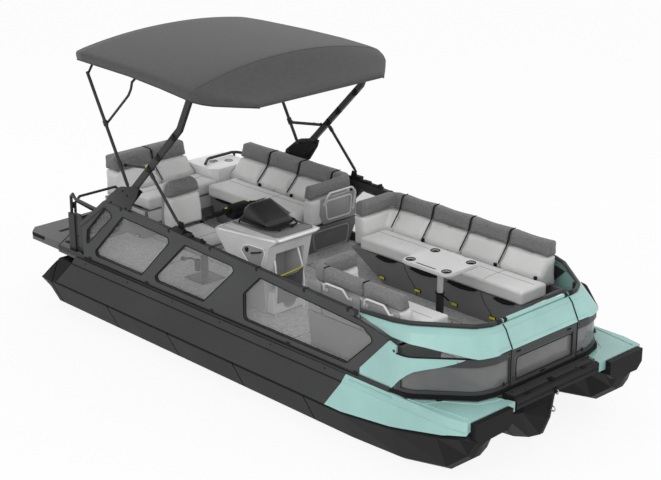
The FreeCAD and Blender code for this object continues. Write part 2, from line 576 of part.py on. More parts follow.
fence = newBody("fencePort")
growY(fence, [[("fenceAftX", "fenceFoot"), ("fenceHeelX", "fenceFoot"), ("fenceHeelX", "fenceHeelZ"),
               ("fenceNoseX", "fenceNoseZ"), ("fenceNoseX", "fenceNoseZ + 16"),
               ("railTongue", "tongueZ"),
               ("railTongue", railAt("railTongue") + " - railDeep"),
               ("railAftX", railAt("railAftX") + " - railDeep"),
               ("fenceRakeX + 15", "railAft - railDeep"), ("fenceAftX - 18", "fenceAftZ")]],
      "deckHalf - fenceThick", "deckHalf")
soften(fence, 14, "Y", [("fenceNoseX", "fenceNoseZ")])
cutY(fence, windows(0), "deckHalf - fenceThick - 5", "deckHalf + 5")
for outline, radius in zip(windows(0), ("winRound", "winRound", "winRound", "quarterRound")):
    soften(fence, radius, "Y", outline)
growY(fence, [[("fenceRakeX", "railAft + 3"), ("fenceAftX - 36", "fenceAftZ + 6"),
               ("fenceAftX - 8", "fenceAftZ - 18"), ("fenceRakeX + 15", "railAft - railDeep"),
               ("railAftX", "railAft - railDeep"), ("railForeX", railAt("railForeX") + " - railDeep"),
               ("railForeX", railAt("railForeX")), ("railAftX", "railAft")]],
      "railOut - railWide", "railOut")
keep("fence_port", fence)
keep("fence_starboard", mirrored("fenceStarboard", fence))

panes = newBody("panes")
growY(panes, windows("0 - paneLap"), "deckHalf - fenceThick - paneThick", "deckHalf - fenceThick")
bothSides("fence_windows", panes)


# Bow fence

def ribbon(points, thick):
    """closed loop of plan points: the given outer line and a parallel one inboard of it"""
    plan = [(value(x), value(y)) for x, y in points]
    inner = []
    for step, (x, y) in enumerate(plan):
        before = plan[max(step - 1, 0)]
        after = plan[min(step + 1, len(plan) - 1)]
        normals = []
        for a, b in ((before, (x, y)), ((x, y), after)):
            length = math.dist(a, b)
            if length > 0:
                normals.append(((b[1] - a[1]) / length, (a[0] - b[0]) / length))
        across = sum(n[0] for n in normals), sum(n[1] for n in normals)
        size = math.hypot(*across)
        stretch = thick / (across[0] * normals[0][0] + across[1] * normals[0][1]) * size
        inner.append((x + across[0] / size * stretch, y + across[1] / size * stretch))
    return plan + inner[::-1]


def eased(points, radius):
    """plan line with each corner turned into two short runs along an arc"""
    line = [FreeCAD.Vector(value(x), value(y), 0) for x, y in points]
    route = [vertex.Point for vertex in bentPath(line, value(radius), 2).Vertexes]
    return [(point.x, point.y) for point in route]


def wireAt(plan, height):
    corners = [FreeCAD.Vector(x, y, height) for x, y in plan]
    return Part.makePolygon(corners + corners[:1])


def wall(points, thick, low, high):
    """upright wall along a plan line"""
    face = Part.Face(wireAt(ribbon(points, value(thick)), value(low)))
    return face.extrude(FreeCAD.Vector(0, 0, value(high) - value(low)))


def leaning(lines, thick):
    """wall that leans from one plan line to the next, each at its own height"""
    rings = []
    for line, height in lines:
        rings.append([FreeCAD.Vector(x, y, value(height)) for x, y in ribbon(line, value(thick))])
    return panelled(rings)


def between(foot, top, share):
    """plan line part of the way from one line to another"""
    return [(f"({a}) + (({c}) - ({a})) * {share}", f"({b}) + (({d}) - ({b})) * {share}")
            for (a, b), (c, d) in zip(foot, top)]


def mirrorPair(label, shape):
    return shapeNode(label, Part.makeCompound([shape, shape.mirror(FreeCAD.Vector(), AXES["Y"])]))


def blockShape(low, high):
    size = [value(b) - value(a) for a, b in zip(low, high)]
    return Part.makeBox(*size, spot(*low))


doorEdge = "doorHalf + doorGap"
bandFootLine = eased([("bandTipX", "bandFootY1"), ("bandKneeX", "bandFootY2"),
                      ("bandFootX3", "bandFootY3"), ("bandFootX4", "bandFootY4"),
                      ("bandFootX5", "bandFootY5"), ("bandFootX6", "bandFootY6"),
                      ("bandFootFront", doorEdge)], "bandBend")
bandTopLine = eased([("bandTipX", "bandTopY1"), ("bandTopX2", "bandTopY2"), ("bandTopX3", "bandTopY3"),
                     ("bandTopX4", "bandTopY4"),
                     ("bandTopX5", "bandTopY5"), ("bandTopX6", "bandTopY6"),
                     ("bandTopFront", doorEdge)], "bandBend")
lowLine = eased([("arrisX + 3", "lowY1"), ("lowX2", "lowY2"), ("lowX3", "lowY3"), ("lowFront", "lowY4"),
                 ("lowFront", doorEdge)], "lowBend")

bandCrease = between(bandFootLine, bandTopLine, "creaseShare")
band = leaning([(bandFootLine, "bandFoot"), (bandCrease, "bandCrease"), (bandTopLine, "bandTop")],
               "bandWall")
under = Part.makePolygon([spot("bandTipX - 10", "bandCutY", "bandFoot - 30"),
                          spot("bandTipX - 10", "bandCutY", "bandTipZ"),
                          spot("bandTipX", "bandCutY", "bandTipZ - 4"),
                          spot("bandKneeX", "bandCutY", "bandKneeZ"),
                          spot("bandKneeX + 220", "bandCutY", "bandKneeZ - 32"),
                          spot("bandFootX5", "bandCutY", "bandFoot"),
                          spot("bandFootX5", "bandCutY", "bandFoot - 30"),
                          spot("bandTipX - 10", "bandCutY", "bandFoot - 30")])
band = band.cut(Part.Face(under).extrude(FreeCAD.Vector(0, 600, 0)))
mirrorPair("bow_bands", band)

frames = wall(lowLine, "wallThick", "deckTop", "lowWinFoot")
frames = frames.fuse(wall(lowLine, "wallThick", "lowWinTop", "lowTop"))
posts = wall(lowLine, "wallThick", "lowWinFoot - 1", "lowWinTop + 1")
posts = posts.cut(blockShape(("lowWinRear", "lowWinFore - 190", "lowWinFoot - 9"),
                             ("lowFront + 7", "deckHalf + 20", "lowWinTop + 9")))
frames = frames.fuse(posts).removeSplitter()
mirrorPair("bow_frames", frames)
pane = wall(lowLine, "wallThick / 2 + paneThick", "lowWinFoot + 1", "lowWinTop - 1")
pane = pane.cut(wall(lowLine, "wallThick / 2", "lowWinFoot - 5", "lowWinTop + 5"))
opening = blockShape(("lowWinRear + 1", "lowWinFore - 189", "lowWinFoot"),
                     ("lowFront + 12", "deckHalf + 20", "lowWinTop"))
mirrorPair("bow_windows", pane.common(opening))

sidePanel = newBody("bowSidePanel")
growY(sidePanel, [[("fenceHeelX + 3", "deckTop"), ("arrisX - 61", "deckTop"), ("arrisX", "armFoot"),
                   ("arrisX", "lowTop + 60"),
                   ("fenceNoseX + 5", "fenceNoseZ + 2"), ("fenceHeelX + 3", "fenceHeelZ - 3")]],
      "deckHalf - 26", "deckHalf - 4")
sidePanel.Label = "side panel port half"
arm = wall(lowLine, "0 - armThick", "armFoot - 20", "lowTop - 3")
armEdge = [("armX1", "armFoot - 60"), ("armX2", "armFoot - 36"), ("armX3", "armZ3"), ("armX4", "armZ4"),
           ("armX5", "armZ5"),
           ("armX6", "armZ6"), ("armX7", "armZ7"), ("armX8", "armZ8"), ("armX9", "armZ9"),
           ("armX10", "armZ10"), ("armX11", "armZ11"),
           ("armX12", "armFoot - 60")]
corners = [spot(x, "400", z) for x, z in armEdge]
arm = arm.cut(Part.Face(Part.makePolygon(corners + corners[:1])).extrude(FreeCAD.Vector(0, 900, 0)))
arms = doc.addObject("Part::Feature", "bowArms")
arms.Shape = Part.makeCompound([arm, arm.mirror(FreeCAD.Vector(), AXES["Y"])])
sidePanels = doc.addObject("Part::Compound", "bowSidePanels")
sidePanels.Links = [sidePanel, mirrored("bowSidePanelTwin", sidePanel), arms]
keep("bow_side_panels", sidePanels)

railLine = [spot("railForeX + 4", "railY1", "bowRailZ + 2"), spot("bandTopX2", "railY2", "bowRailZ"),
            spot("railX3", "railY3", "bowRailZ"), spot("railX4", "railY4", "bowRailZ"),
            spot("railX5", "railY5", "bowRailZ"), spot("bowRailX - 2", "bandTopY6 - 4", "bowRailZ"),
            spot("bowRailX", doorEdge, "bowRailZ")]
mirrorPair("bow_rails", tubeShape(railLine, value("bowRailR"), 60))

# Bow gate, closed at rest

gateLow = [("lowFront", "doorHalf"), ("lowFront", "-doorHalf")]
gateFrame = wall(gateLow, "wallThick", "deckTop + 12", "lowWinFoot").fuse(
    [wall(gateLow, "wallThick", "lowWinTop", "lowTop"),
     blockShape(("lowFront - wallThick", "doorHalf - 45", "lowWinFoot - 1"),
                ("lowFront", "doorHalf", "lowWinTop + 1")),
     blockShape(("lowFront - wallThick", "-doorHalf", "lowWinFoot - 1"),
                ("lowFront", "45 - doorHalf", "lowWinTop + 1"))])
shapeNode("bow_gate_frame", gateFrame.removeSplitter())
shapeNode("bow_gate_window", blockShape(("lowFront - 26", "46 - doorHalf", "lowWinFoot + 1"),
                                        ("lowFront - 26 + paneThick", "doorHalf - 46",
                                         "lowWinTop - 1")))
gateFoot = [("bandFootFront", "doorHalf"), ("bandFootFront", "-doorHalf")]
gateTopLine = [("bandTopFront", "doorHalf"), ("bandTopFront", "-doorHalf")]
gateBand = leaning([(gateFoot, "bandFoot"), (between(gateFoot, gateTopLine, "creaseShare"),
                                             "bandCrease"),
                    (gateTopLine, "bandTop")], "bandWall")
gateRail = roundBar(spot("bowRailX", "-doorHalf", "bowRailZ"), AXES["Y"], value("2 * doorHalf"),
                    value("bowRailR"))
shapeNode("bow_gate_band", Part.makeCompound([gateBand, gateRail]))


# Stern rails and gate

quarterZ = "sternRailZ - 5"
starboardRail = tubeShape([spot("postX", "-postY", "deckTop"), spot("postX", "-postY", "postTop - 12"),
                           spot("postX + postFore", "-quarterRailY", quarterZ),
                           spot("quarterRailX", "-quarterRailOut", quarterZ)], value("postR"), 60)
sternPanel = blockShape(("postX + 20", "-postY - 60", "deckTop"),
                        ("postX + postFore", "-postY - 30", "postPanelTop"))
portRail = tubeShape([spot("quarterRailX", "quarterRailOut", quarterZ),
                      spot("postX + 90", "quarterRailY + 10", quarterZ),
                      spot("postX", "postY + 5", "sternRailZ"),
                      spot("postX + 20", "quarterRailIn", "sternRailZ + 5"),
                      spot("postX + 110", "quarterRailIn - 110", "sternRailZ - 9")], value("postR"), 60)
portPost = roundBar(spot("postX", "postY + 5", "deckTop"), AXES["Z"],
                    value("sternRailZ - postR - deckTop - 1"),
                    value("railTubeR"))
starboardRail = starboardRail.cut(kept["fence_starboard"].Shape)
portRail = portRail.cut(kept["fence_port"].Shape)
shapeNode("stern_rails", Part.makeCompound([starboardRail, sternPanel, portRail, portPost]))

loop = [spot("gateX", "-gateHinge", "gateFoot"), spot("gateX", "-gateHinge", "gateTop"),
        spot("gateX", "-gateEnd", "gateTop"), spot("gateX", "-gateEnd", "gateFoot"),
        spot("gateX", "-gateHinge + 40", "gateFoot")]
gateShape = tubeShape(loop[:4] + [spot("gateX", "-gateHinge + gateTubeR * 2.2", "gateFoot")],
                      value("gateTubeR"), 60)
gatePlate = blockShape(("gateX - gatePanel / 2", "-gateHinge + gateTubeR + 1", "gateFoot + 40"),
                       ("gateX + gatePanel / 2", "-gateEnd - gateTubeR - 1", "gateMidZ"))
shapeNode("stern_gate", Part.makeCompound([gateShape, gatePlate]))


# Seats

def hollowBase(label, foot, top, hollow):
    """storage box that leans outwards from the toe up to the seat, open at the top"""
    body = newBody(label + "Body")
    loft(body, "XY_Plane", [("deckTop", foot), ("baseTop", top)])
    cutZ(body, [hollow], "deckTop + wall", "baseTop + 5")
    return keep(label, body)


def rectangle(x0, y0, x1, y1):
    return [(x0, y0), (x1, y0), (x1, y1), (x0, y1)]


def cushion(label, x0, y0, x1, y1):
    body = newBody(label + "Body")
    growZ(body, [rectangle(x0, y0, x1, y1)], "seatFoot", "seatTop")
    soften(body, "padRound", "Z")
    return keep(label, body)


def backOutline(rear, crease, headFront, headTopFront, headTop):
    """section of a backrest with its headrest, from the rear foot round the front"""
    return [(rear, "backFoot"), (crease, "backFoot"), (crease, "seatTop + 20"), (headFront, "headFoot"),
            (headFront, "headFoot + 12"), (headTopFront, headTop), (rear, headTop)]


portBack = ("backY", "creaseY + seatGap", "headFront - 35", "headTopFront - 35", "headTop")
bowBack = ("bowBackY", "creaseY + seatGap", "headFront - 70", "headTopFront - 70", "headTop")


def sideBack(label, aft, fore, section, extra):
    """backrest along a side bench and the short return at its end"""
    body = newBody(label + "Body")
    growX(body, [backOutline(*section)], aft, fore)
    growZ(body, [extra], "backFoot", "headTop")
    return body


def turned(points):
    """plan points of a port piece moved to starboard"""
    return [(x, "-(" + y + ")") for x, y in reversed(points)]


hollowBase("mid_base", rectangle("midSeatAft", "baseToe", "midToeFore", "backY"),
           rectangle("midSeatAft", "baseFront", "midFore - 20", "backY"),
           rectangle("midSeatAft + wall", "baseToe + wall", "midToeFore - wall - 10", "backY - wall"))
cushion("mid_seat", "midSeatAft + 8", "seatFront", "midFore - midReturn - seatGap", "creaseY")
keep("mid_back", sideBack("mid_back", "midAft", "midFore", portBack,
                          rectangle("midFore - midReturn", "seatFront + 65", "midFore", "backY")))

hollowBase("bow_port_base", rectangle("bowPortToeAft", "baseToe", "bowPortFore - 40", "bowBackY"),
           rectangle("bowPortAft + 30", "baseFront", "bowPortFore - 30", "bowBackY"),
           rectangle("bowPortToeAft + wall", "baseToe + wall", "bowPortFore - 40 - wall",
                     "bowBackY - wall"))
cushion("bow_port_seat_aft", "bowPortAft + bowReturn + seatGap", "seatFront + 25", "bowPortSplit - 4",
        "creaseY")
cushion("bow_port_seat_fore", "bowPortSplit + 4", "seatFront + 25", "bowPortFore", "creaseY")
keep("bow_port_back", sideBack("bow_port_back", "bowPortAft", "bowPortBackFore", bowBack,
                               rectangle("bowPortAft", "returnIn + 20", "bowPortAft + bowReturn",
                                         "bowBackY")))

hollowBase("bow_starboard_base", turned(rectangle("bowStarAft + 60", "baseToe + 50", "bowStarFore - 30",
                                                  "bowBackY")),
           turned(rectangle("bowStarAft + 10", "bowStarFront + 30", "bowStarFore - 20", "bowBackY")),
           turned(rectangle("bowStarAft + 60 + wall", "baseToe + 50 + wall", "bowStarFore - 30 - wall",
                            "bowBackY - wall")))
cushion("bow_starboard_seat", "bowStarAft + bowReturn + seatGap", "-creaseY", "bowStarFore",
        "-bowStarFront")
starBack = newBody("starBackBody")
growX(starBack, [[("-(" + y + ")", z) for y, z in reversed(backOutline(*bowBack))]], "bowStarAft",
      "bowStarBackFore")
growZ(starBack, [turned(rectangle("bowStarAft", "returnIn + 40", "bowStarAft + bowReturn",
                                  "bowBackY"))],
      "backFoot", "headTop")
keep("bow_starboard_back", starBack)

hollowBase("stern_base", rectangle("sternBackX", "sternStar", "sternToe", "sternPort"),
           rectangle("sternBackX", "sternStar", "sternFront - 40", "sternPort"),
           rectangle("sternBackX + wall", "sternStar + wall", "sternToe - wall", "sternPort - wall"))
cushion("stern_seat", "sternCrease", "sternStar + 4", "sternFront", "sternPort - 4")
sternBack = newBody("sternBackBody")
growY(sternBack, [backOutline("sternBackX", "sternCrease - seatGap", "sternHeadFront + 60",
                              "sternHeadFront + 20",
                              "headTop + 12")], "sternStar", "sternPort")
keep("stern_back", sternBack)

corner = newBody("cornerBody")
growZ(corner, [[("cornerAft", "cornerIn"), ("cornerFore - 60", "cornerIn"),
                ("cornerFore", "cornerIn + 60"),
                ("cornerFore", "cornerOut"), ("cornerAft + 20", "cornerOut")]], "deckTop",
      "cornerTop - 34")
growZ(corner, [[("cornerAft", "cornerIn - 8"), ("cornerFore - 66", "cornerIn - 8"),
                ("cornerFore + 10", "cornerIn + 64"), ("cornerFore + 10", "cornerOut"),
                ("cornerAft + 20", "cornerOut")]], "cornerTop - 34", "cornerTop")


def bore(body, x, y, radius, low, high):
    """well with a many-sided rim, placed and sized by the sheet"""
    sides = int(value("cupSides"))
    turns = [2 * math.pi * side / sides for side in range(sides)]
    rim = [(f"{x} + {radius} * {math.cos(turn):.6f}",
            f"{y} + {radius} * {math.sin(turn):.6f}") for turn in turns]
    return cutZ(body, [rim], low, high)


bore(corner, "cupX", "cupOneY", "cupR", "cornerTop - cupDeep", "cornerTop + 5")
bore(corner, "cupX + 90", "cupTwoY", "cupR", "cornerTop - cupDeep", "cornerTop + 5")
keep("corner_console", corner)


# Helm

def consoleRing(corners, half):
    """four corners of the console at one level, aft edge first, on both sides of its middle"""
    (aftX, aftZ), (foreX, foreZ) = corners
    return [spot(aftX, "helmY - " + half, aftZ), spot(foreX, "helmY - " + half, foreZ),
            spot(foreX, "helmY + " + half, foreZ), spot(aftX, "helmY + " + half, aftZ)]


console = newBody("consoleBody")
consoleSkin = doc.addObject("Part::Feature", "consoleSkin")
consoleSkin.Shape = panelled([
    consoleRing([("helmFootAft", "deckTop"), ("helmFootFore", "deckTop")], "helmFootHalf"),
    consoleRing([("kneeAft", "kneeAftZ"), ("kneeFore", "kneeForeZ")], "helmHalf - 35"),
    consoleRing([("waistAft", "waistAftZ"), ("waistFore", "waistForeZ")], "helmHalf - 22"),
    consoleRing([("helmAft + 10", "rimAftZ - 27"), ("rimFore - 103", "rimForeZ - 79")], "helmHalf - 6"),
    consoleRing([("helmAft", "rimAftZ"), ("rimFore", "rimForeZ")], "helmHalf"),
    consoleRing([("helmAft + 6", "rimAftZ + 14"), ("rimFore - 2", "rimForeZ + 20")], "helmHalf - 4"),
    consoleRing([("hoodAft", "hoodLow - 14"), ("rimFore - 250", "rimForeZ + 16")], "helmHalf - 60"),
])
console.BaseFeature = consoleSkin
doc.recompute()
cutX(console, [rectangle("helmY - helmFootHalf + 30", "deckTop + 90", "helmY + helmFootHalf - 30",
                         "helmCubbyTop")],
     "helmCubbyAft", "rimFore - 40")
keep("helm_console", console)
hood = newBody("hoodBody")
hoodSkin = doc.addObject("Part::Feature", "hoodSkin")
hoodRings = []
long, wide, corner = value("hoodLong"), value("hoodWide"), value("hoodCorner")
hoodPlan = [(0, corner), (corner, 0), (long - corner, 0), (long, corner + 16),
            (long, wide - corner - 16),
            (long - corner, wide), (corner, wide), (0, wide - corner)]
for inset, rise in ((0, 0), (0, 18), (38, 62), (66, 78)):
    ring = []
    for alongX, acrossY in hoodPlan:
        x = value("hoodAft") + inset * 0.9 + alongX * (1 - inset * 1.8 / long)
        y = value("helmY - hoodHalf") + inset + acrossY * (1 - inset / value("hoodHalf"))
        level = value("hoodLow + 2") - (x - value("hoodAft")) * value("hoodSlope")
        ring.append(FreeCAD.Vector(x, y, level + rise))
    hoodRings.append(ring)
hoodSkin.Shape = panelled(hoodRings)
hood.BaseFeature = hoodSkin
doc.recompute()
keep("helm_hood", hood)

leanAngle = math.radians(value("columnLean"))
stemFoot = spot("stemFootX", "helmY", "stemFootZ")
stemWay = FreeCAD.Vector(-math.sin(leanAngle), 0, math.cos(leanAngle))
stem = roundBar(stemFoot, stemWay, value("columnLong"), value("columnR"))
barCentre = stemFoot + stemWay * (value("columnLong") - 12)


def onBar(aft, side):
    """a place on the handlebar's plane: so far aft of the stem along the plane, and to the side"""
    back = FreeCAD.Vector(-math.cos(leanAngle), 0, -math.sin(leanAngle))
    return barCentre + back * aft + FreeCAD.Vector(0, side, 0)


bar = tubeShape([onBar(110, -value("barHalf")), onBar(95, -225), onBar(0, -95), onBar(0, 95),
                 onBar(95, 225),
                 onBar(110, value("barHalf"))], value("barR"), 50)
grips = []
for side in (-1, 1):
    outer = onBar(110, side * value("barHalf"))
    inner = onBar(101, side * (value("barHalf") - value("gripLong")))
    grips.append(tubeShape([outer, inner], value("gripR"), 0))
shapeNode("handlebar", bar.fuse([stem] + grips).removeSplitter())


# Captain's chair

plate = box("pedPlate", ("chairX - plateSide / 2", "chairY - plateSide / 2", "deckTop"),
            ("chairX + plateSide / 2", "chairY + plateSide / 2", "deckTop + plateThick"))
post = rod("pedPost", "pedR", "pedTop - deckTop - plateThick", "chairX", "chairY",
           "deckTop + plateThick")
keep("chair_pedestal", fused("pedestal", [plate, post]))
swivel = rod("swivel", "swivelR", "swivelThick", "chairX", "chairY", "pedTop + swivelGap")
chairSeat = box("chairSeatBlock", ("chairSeatAft - 60", "chairY - chairHalf",
                                   "pedTop + swivelGap + swivelThick"),
                ("chairSeatFore", "chairY + chairHalf", "chairSeatTop"))
keep("chair_seat", fused("chairSeat", [swivel, chairSeat]))
chairBack = newBody("chairBackBody")
growY(chairBack, [[("chairSeatAft - 60", "chairSeatTop + 2"), ("chairSeatAft + 50", "chairSeatTop + 2"),
                   ("chairSeatAft + 20", "chairBackTop"), ("chairSeatAft - 40", "chairBackTop + 22"),
                   ("chairSeatAft - 85", "chairBackTop")]], "chairY - chairHalf", "chairY + chairHalf")
keep("chair_back", chairBack)


# Table

foot = rod("tableFoot", "footR", "footThick", "tableX", "tableY", "deckTop")
outerTube = rod("tubeLow", "tubeLowR", "tubeLowTop - deckTop - footThick", "tableX", "tableY",
                "deckTop + footThick")
outerBore = rod("tubeBore", "tubeUpR + tubeFit", "tubeLowTop - tubeBoreFoot + 5", "tableX", "tableY",
                "tubeBoreFoot")
socket = doc.addObject("Part::Cut", "tableSocket")
socket.Base = fused("tablePost", [foot, outerTube])
socket.Tool = outerBore
keep("table_post", socket)
top = newBody("tableTopBody")
growZ(top, [rectangle("tableX - tableLong / 2", "tableY - tableWide / 2", "tableX + tableLong / 2",
                      "tableY + tableWide / 2")], "tableTop - tableThick", "tableTop")
soften(top, "tableRound", "Z")
for sideX in ("-1", "1"):
    for sideY in ("-1", "1"):
        bore(top, f"tableX + {sideX} * (tableLong / 2 - tableCupIn)",
             f"tableY + {sideY} * (tableWide / 2 - tableCupIn)",
             "tableCupR", "tableTop - tableCupDeep", "tableTop + 5")
upper = rod("tubeUp", "tubeUpR", "tableTop - tableThick - tubeUpFoot", "tableX", "tableY", "tubeUpFoot")
keep("table_top", fused("tableWhole", [top, upper]))


# Folding top

def strip(points, width):
    """outline of a flat bar of constant width along points in the XZ plane"""
    flat = [(value(x), value(z)) for x, z in points]
    edges = ribbon(points, width / 2)[len(flat):]
    other = ribbon([(x, z) for x, z in flat[::-1]], width / 2)[len(flat):]
    return edges + other


def bars(outline, low, high):
    """the same flat bar at port and starboard"""
    made = []
    for a, b in ((low, high), (-high, -low)):
        corners = [FreeCAD.Vector(x, a, z) for x, z in outline]
        face = Part.Face(Part.makePolygon(corners + corners[:1]))
        made.append(face.extrude(FreeCAD.Vector(0, b - a, 0)))
    return made


def hoop(points, halfWidth, radius, bend):
    """a tube from the starboard foot over the top to the port foot"""
    side = [spot(x, "-(" + str(halfWidth) + ")", z) for x, z in points]
    other = [FreeCAD.Vector(p.x, -p.y, p.z) for p in reversed(side)]
    return tubeShape(side + other, radius, bend)


bracket = [("rearX - 172", "mainZ - 60"), ("rearX - 23", "rearZ + 18"), ("mainX + 102", "mainZ + 86"),
           ("mainX + 172", "mainZ + 67"), ("mainX - 27", "bracketFoot + 64"),
           ("mainX - 111", "bracketFoot"),
           ("rearX - 144", "bracketFoot + 11")]
bracketFlat = [(value(x), value(z)) for x, z in bracket]
low = value("bracketY")
high = low + value("bracketThick")
mounts = bars(bracketFlat, low, high)
lugX, lugZ = value("strutFootX"), value("strutFootZ")
lug = [(lugX - 90, lugZ - 73), (lugX + 160, lugZ - 81), (lugX + 155, lugZ - 53), (lugX + 45, lugZ - 49),
       (lugX + 30, lugZ + 17), (lugX - 30, lugZ + 17), (lugX - 45, lugZ - 46), (lugX - 85, lugZ - 43)]
mounts += bars(lug, low, high)
shapeNode("bimini_mounts", Part.makeCompound(mounts))

mainLeg = strip([("mainX", "mainZ"), ("mainElbowX", "mainElbowZ"), ("mainTopX", "mainTopZ")],
                value("mainWide"))
half = value("mainThick / 2")
cross = roundBar(spot("mainTopX", "-mainY + mainThick / 2", "mainTopZ - 4"), AXES["Y"],
                 2 * (value("mainY") - half),
                 value("crossR"))
legs = bars(mainLeg, value("mainY") - half, value("mainY") + half)
shapeNode("main_bow", legs[0].fuse([legs[1], cross]).removeSplitter())
shapeNode("rear_bow", hoop([("rearX", "rearZ"), ("rearTopX", "rearTopZ")], "rearY", value("hoopR"),
                           value("hoopBend")))
shapeNode("middle_bow", hoop([("middleX", "middleZ"), ("middleKneeX", "middleKneeZ"),
                              ("middleTopX", "middleTopZ")],
                             "middleY", value("hoopR"), value("hoopBend")))
frontSide = [spot("frontX0", "-frontY0", "mainTopZ - 4"),
             spot("frontX0 + 113", "-frontY0", "mainTopZ - 12"),
             spot("frontTopX", "-frontHalf", "frontZ")]
frontOther = [FreeCAD.Vector(p.x, -p.y, p.z) for p in reversed(frontSide)]
shapeNode("front_bow", tubeShape(frontSide + frontOther, value("hoopR"), 100))
linkFlat = strip([("linkAftX", "linkAftZ"), ("linkForeX", "linkForeZ")], value("linkWide"))
linkHalf = value("linkThick / 2")
shapeNode("brace_links", Part.makeCompound(bars(linkFlat, value("linkY") - linkHalf,
                                                value("linkY") + linkHalf)))
strut = tubeShape([spot("strutFootX", "mainY", "strutFootZ"),
                   spot("strutFootX - 200", "mainY", "strutFootZ + 204"),
                   spot("strutTopX", "mainY", "strutTopZ")], value("strutR"), 30)
mirrorPair("lower_struts", strut)


def canopyRing(x, halfWidth, edge, valance):
    """closed section of the canopy at a length, its crown in flats that rise by a tenth of the width"""
    outer = [(halfWidth, valance)]
    for step in range(-4, 5):
        outer.append((-halfWidth * step / 4,
                      edge + value("crownRise") * halfWidth * (1 - (step / 4) ** 2)))
    outer.append((-halfWidth, valance))
    slim = 1 - value("canopyThick") / halfWidth
    inner = [(y * slim, z - value("canopyThick") if abs(z - valance) > 1 else z) for y,
             z in reversed(outer)]
    return [FreeCAD.Vector(x, y, z) for y, z in outer + inner]


canopyRings = []
for x, half, edge, drop in (("canopyAft", 1110, 2793, 93), ("mainX + 50", 1160, 2804, 94),
                            ("canopyFore - 590", 1203, 2772, 102),
                            ("canopyFore - 360", 1198, 2731, 81), ("canopyFore", 800, 2664, 34)):
    canopyRings.append(canopyRing(value(x), half, edge, edge - drop))
shapeNode("canopy", panelled(canopyRings))


# Drive

def barrel(outer, inner, aft, length, z):
    sides = value("pipeSides")
    tube = roundBar(spot(aft, "0", z), AXES["X"], value(length), value(outer), sides)
    return tube.cut(roundBar(spot(aft + " - 10", "0", z), AXES["X"], value(length) + 20, value(inner),
                             sides))


pump = barrel("pumpR", "pumpBore", "pumpAft", "centreStern - pumpAft - 3", "shaftZ")
shapeNode("jet_pump", pump)
spinner = roundBar(spot("impellerX", "0", "shaftZ"), AXES["X"], value("impellerLong"),
                   value("hubRadius"))
blades = []
for turn in range(SIZES["bladeCount"]):
    blade = blockShape(("impellerX + 5", "-bladeThick / 2", "shaftZ + hubRadius - 5"),
                       ("impellerX + impellerLong - 5", "bladeThick / 2", "shaftZ + impellerR"))
    blade.rotate(spot("impellerX", "0", "shaftZ + 50"), AXES["Z"], 30)
    blade.rotate(spot("impellerX", "0", "shaftZ"), AXES["X"], 360 / value("bladeCount") * turn)
    blades.append(blade)
reach = roundBar(spot("impellerX", "0", "shaftZ"), AXES["X"], value("impellerLong"), value("impellerR"),
                 value("pipeSides"))
shapeNode("impeller", spinner.fuse(blades).common(reach).removeSplitter())
shapeNode("steering_nozzle", barrel("nozzleR", "nozzleBore", "nozzleAft",
                                    "nozzlePivotX + 30 - nozzleAft", "shaftZ"))

bucketTurn = [math.radians(angle) for angle in range(35, 90, 10)]
rim = [(value("bucketPivotX") - value("bucketR") * math.cos(a),
        value("shaftZ") + value("bucketR") * math.sin(a)) for a in bucketTurn]
inside = [(value("bucketPivotX") - value("bucketR - 12") * math.cos(a),
           value("shaftZ") + value("bucketR - 12") * math.sin(a)) for a in bucketTurn]
shellFace = Part.makePolygon([FreeCAD.Vector(x, -value("bucketHalf"), z) for x,
                              z in rim + inside[::-1] + rim[:1]])
bucket = Part.Face(shellFace).extrude(FreeCAD.Vector(0, 2 * value("bucketHalf"), 0))
cheek = rim + [(value("bucketPivotX") + 14, value("shaftZ") + 14),
               (value("bucketPivotX") - 4, value("shaftZ") - 14),
               (value("bucketPivotX") - 20, value("shaftZ"))]
bucket = bucket.fuse(bars(cheek, value("bucketHalf - 8"), value("bucketHalf"))).removeSplitter()
shapeNode("reverse_bucket", bucket)

ladder = []
for side in ("ladderY - ladderHalf", "ladderY + ladderHalf"):
    ladder.append(roundBar(spot("ladderX", side, "ladderZ"), AXES["X"], value("ladderLong"),
                           value("ladderR")))
for place in ("rungFirst", "rungFirst + rungPitch", "ladderLong - 30"):
    ladder.append(roundBar(spot("ladderX + " + place, "ladderY - ladderHalf", "ladderZ"), AXES["Y"],
                           2 * value("ladderHalf"), value("rungR")))
shapeNode("boarding_ladder", ladder[0].fuse(ladder[1:]).removeSplitter())

doc.recompute()
faults = []
for piece in doc.Objects:
    if "Invalid" in piece.State or "Error" in piece.State:
        faults.append(piece.Label + ": " + piece.getStatusString())
    shape = getattr(piece, "Shape", None)
    if shape is None:
        continue
    if piece in kept.values() and (shape.isNull() or not shape.Solids or not shape.isValid()):
        faults.append(piece.Label + ": no valid solid")
    elif not shape.isNull() and shape.Faces and not shape.isValid():
        faults.append(piece.Label + ": shape is not valid")
if faults:
    raise RuntimeError("not exported, these did not build: " + "; ".join(faults))
for label, piece in kept.items():
    piece.Shape.exportStep("parts/" + label + ".step")
    print(label, len(piece.Shape.Solids), "solids")
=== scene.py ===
import json
import math
import time
import bmesh
import bpy
from mathutils import Matrix, Vector

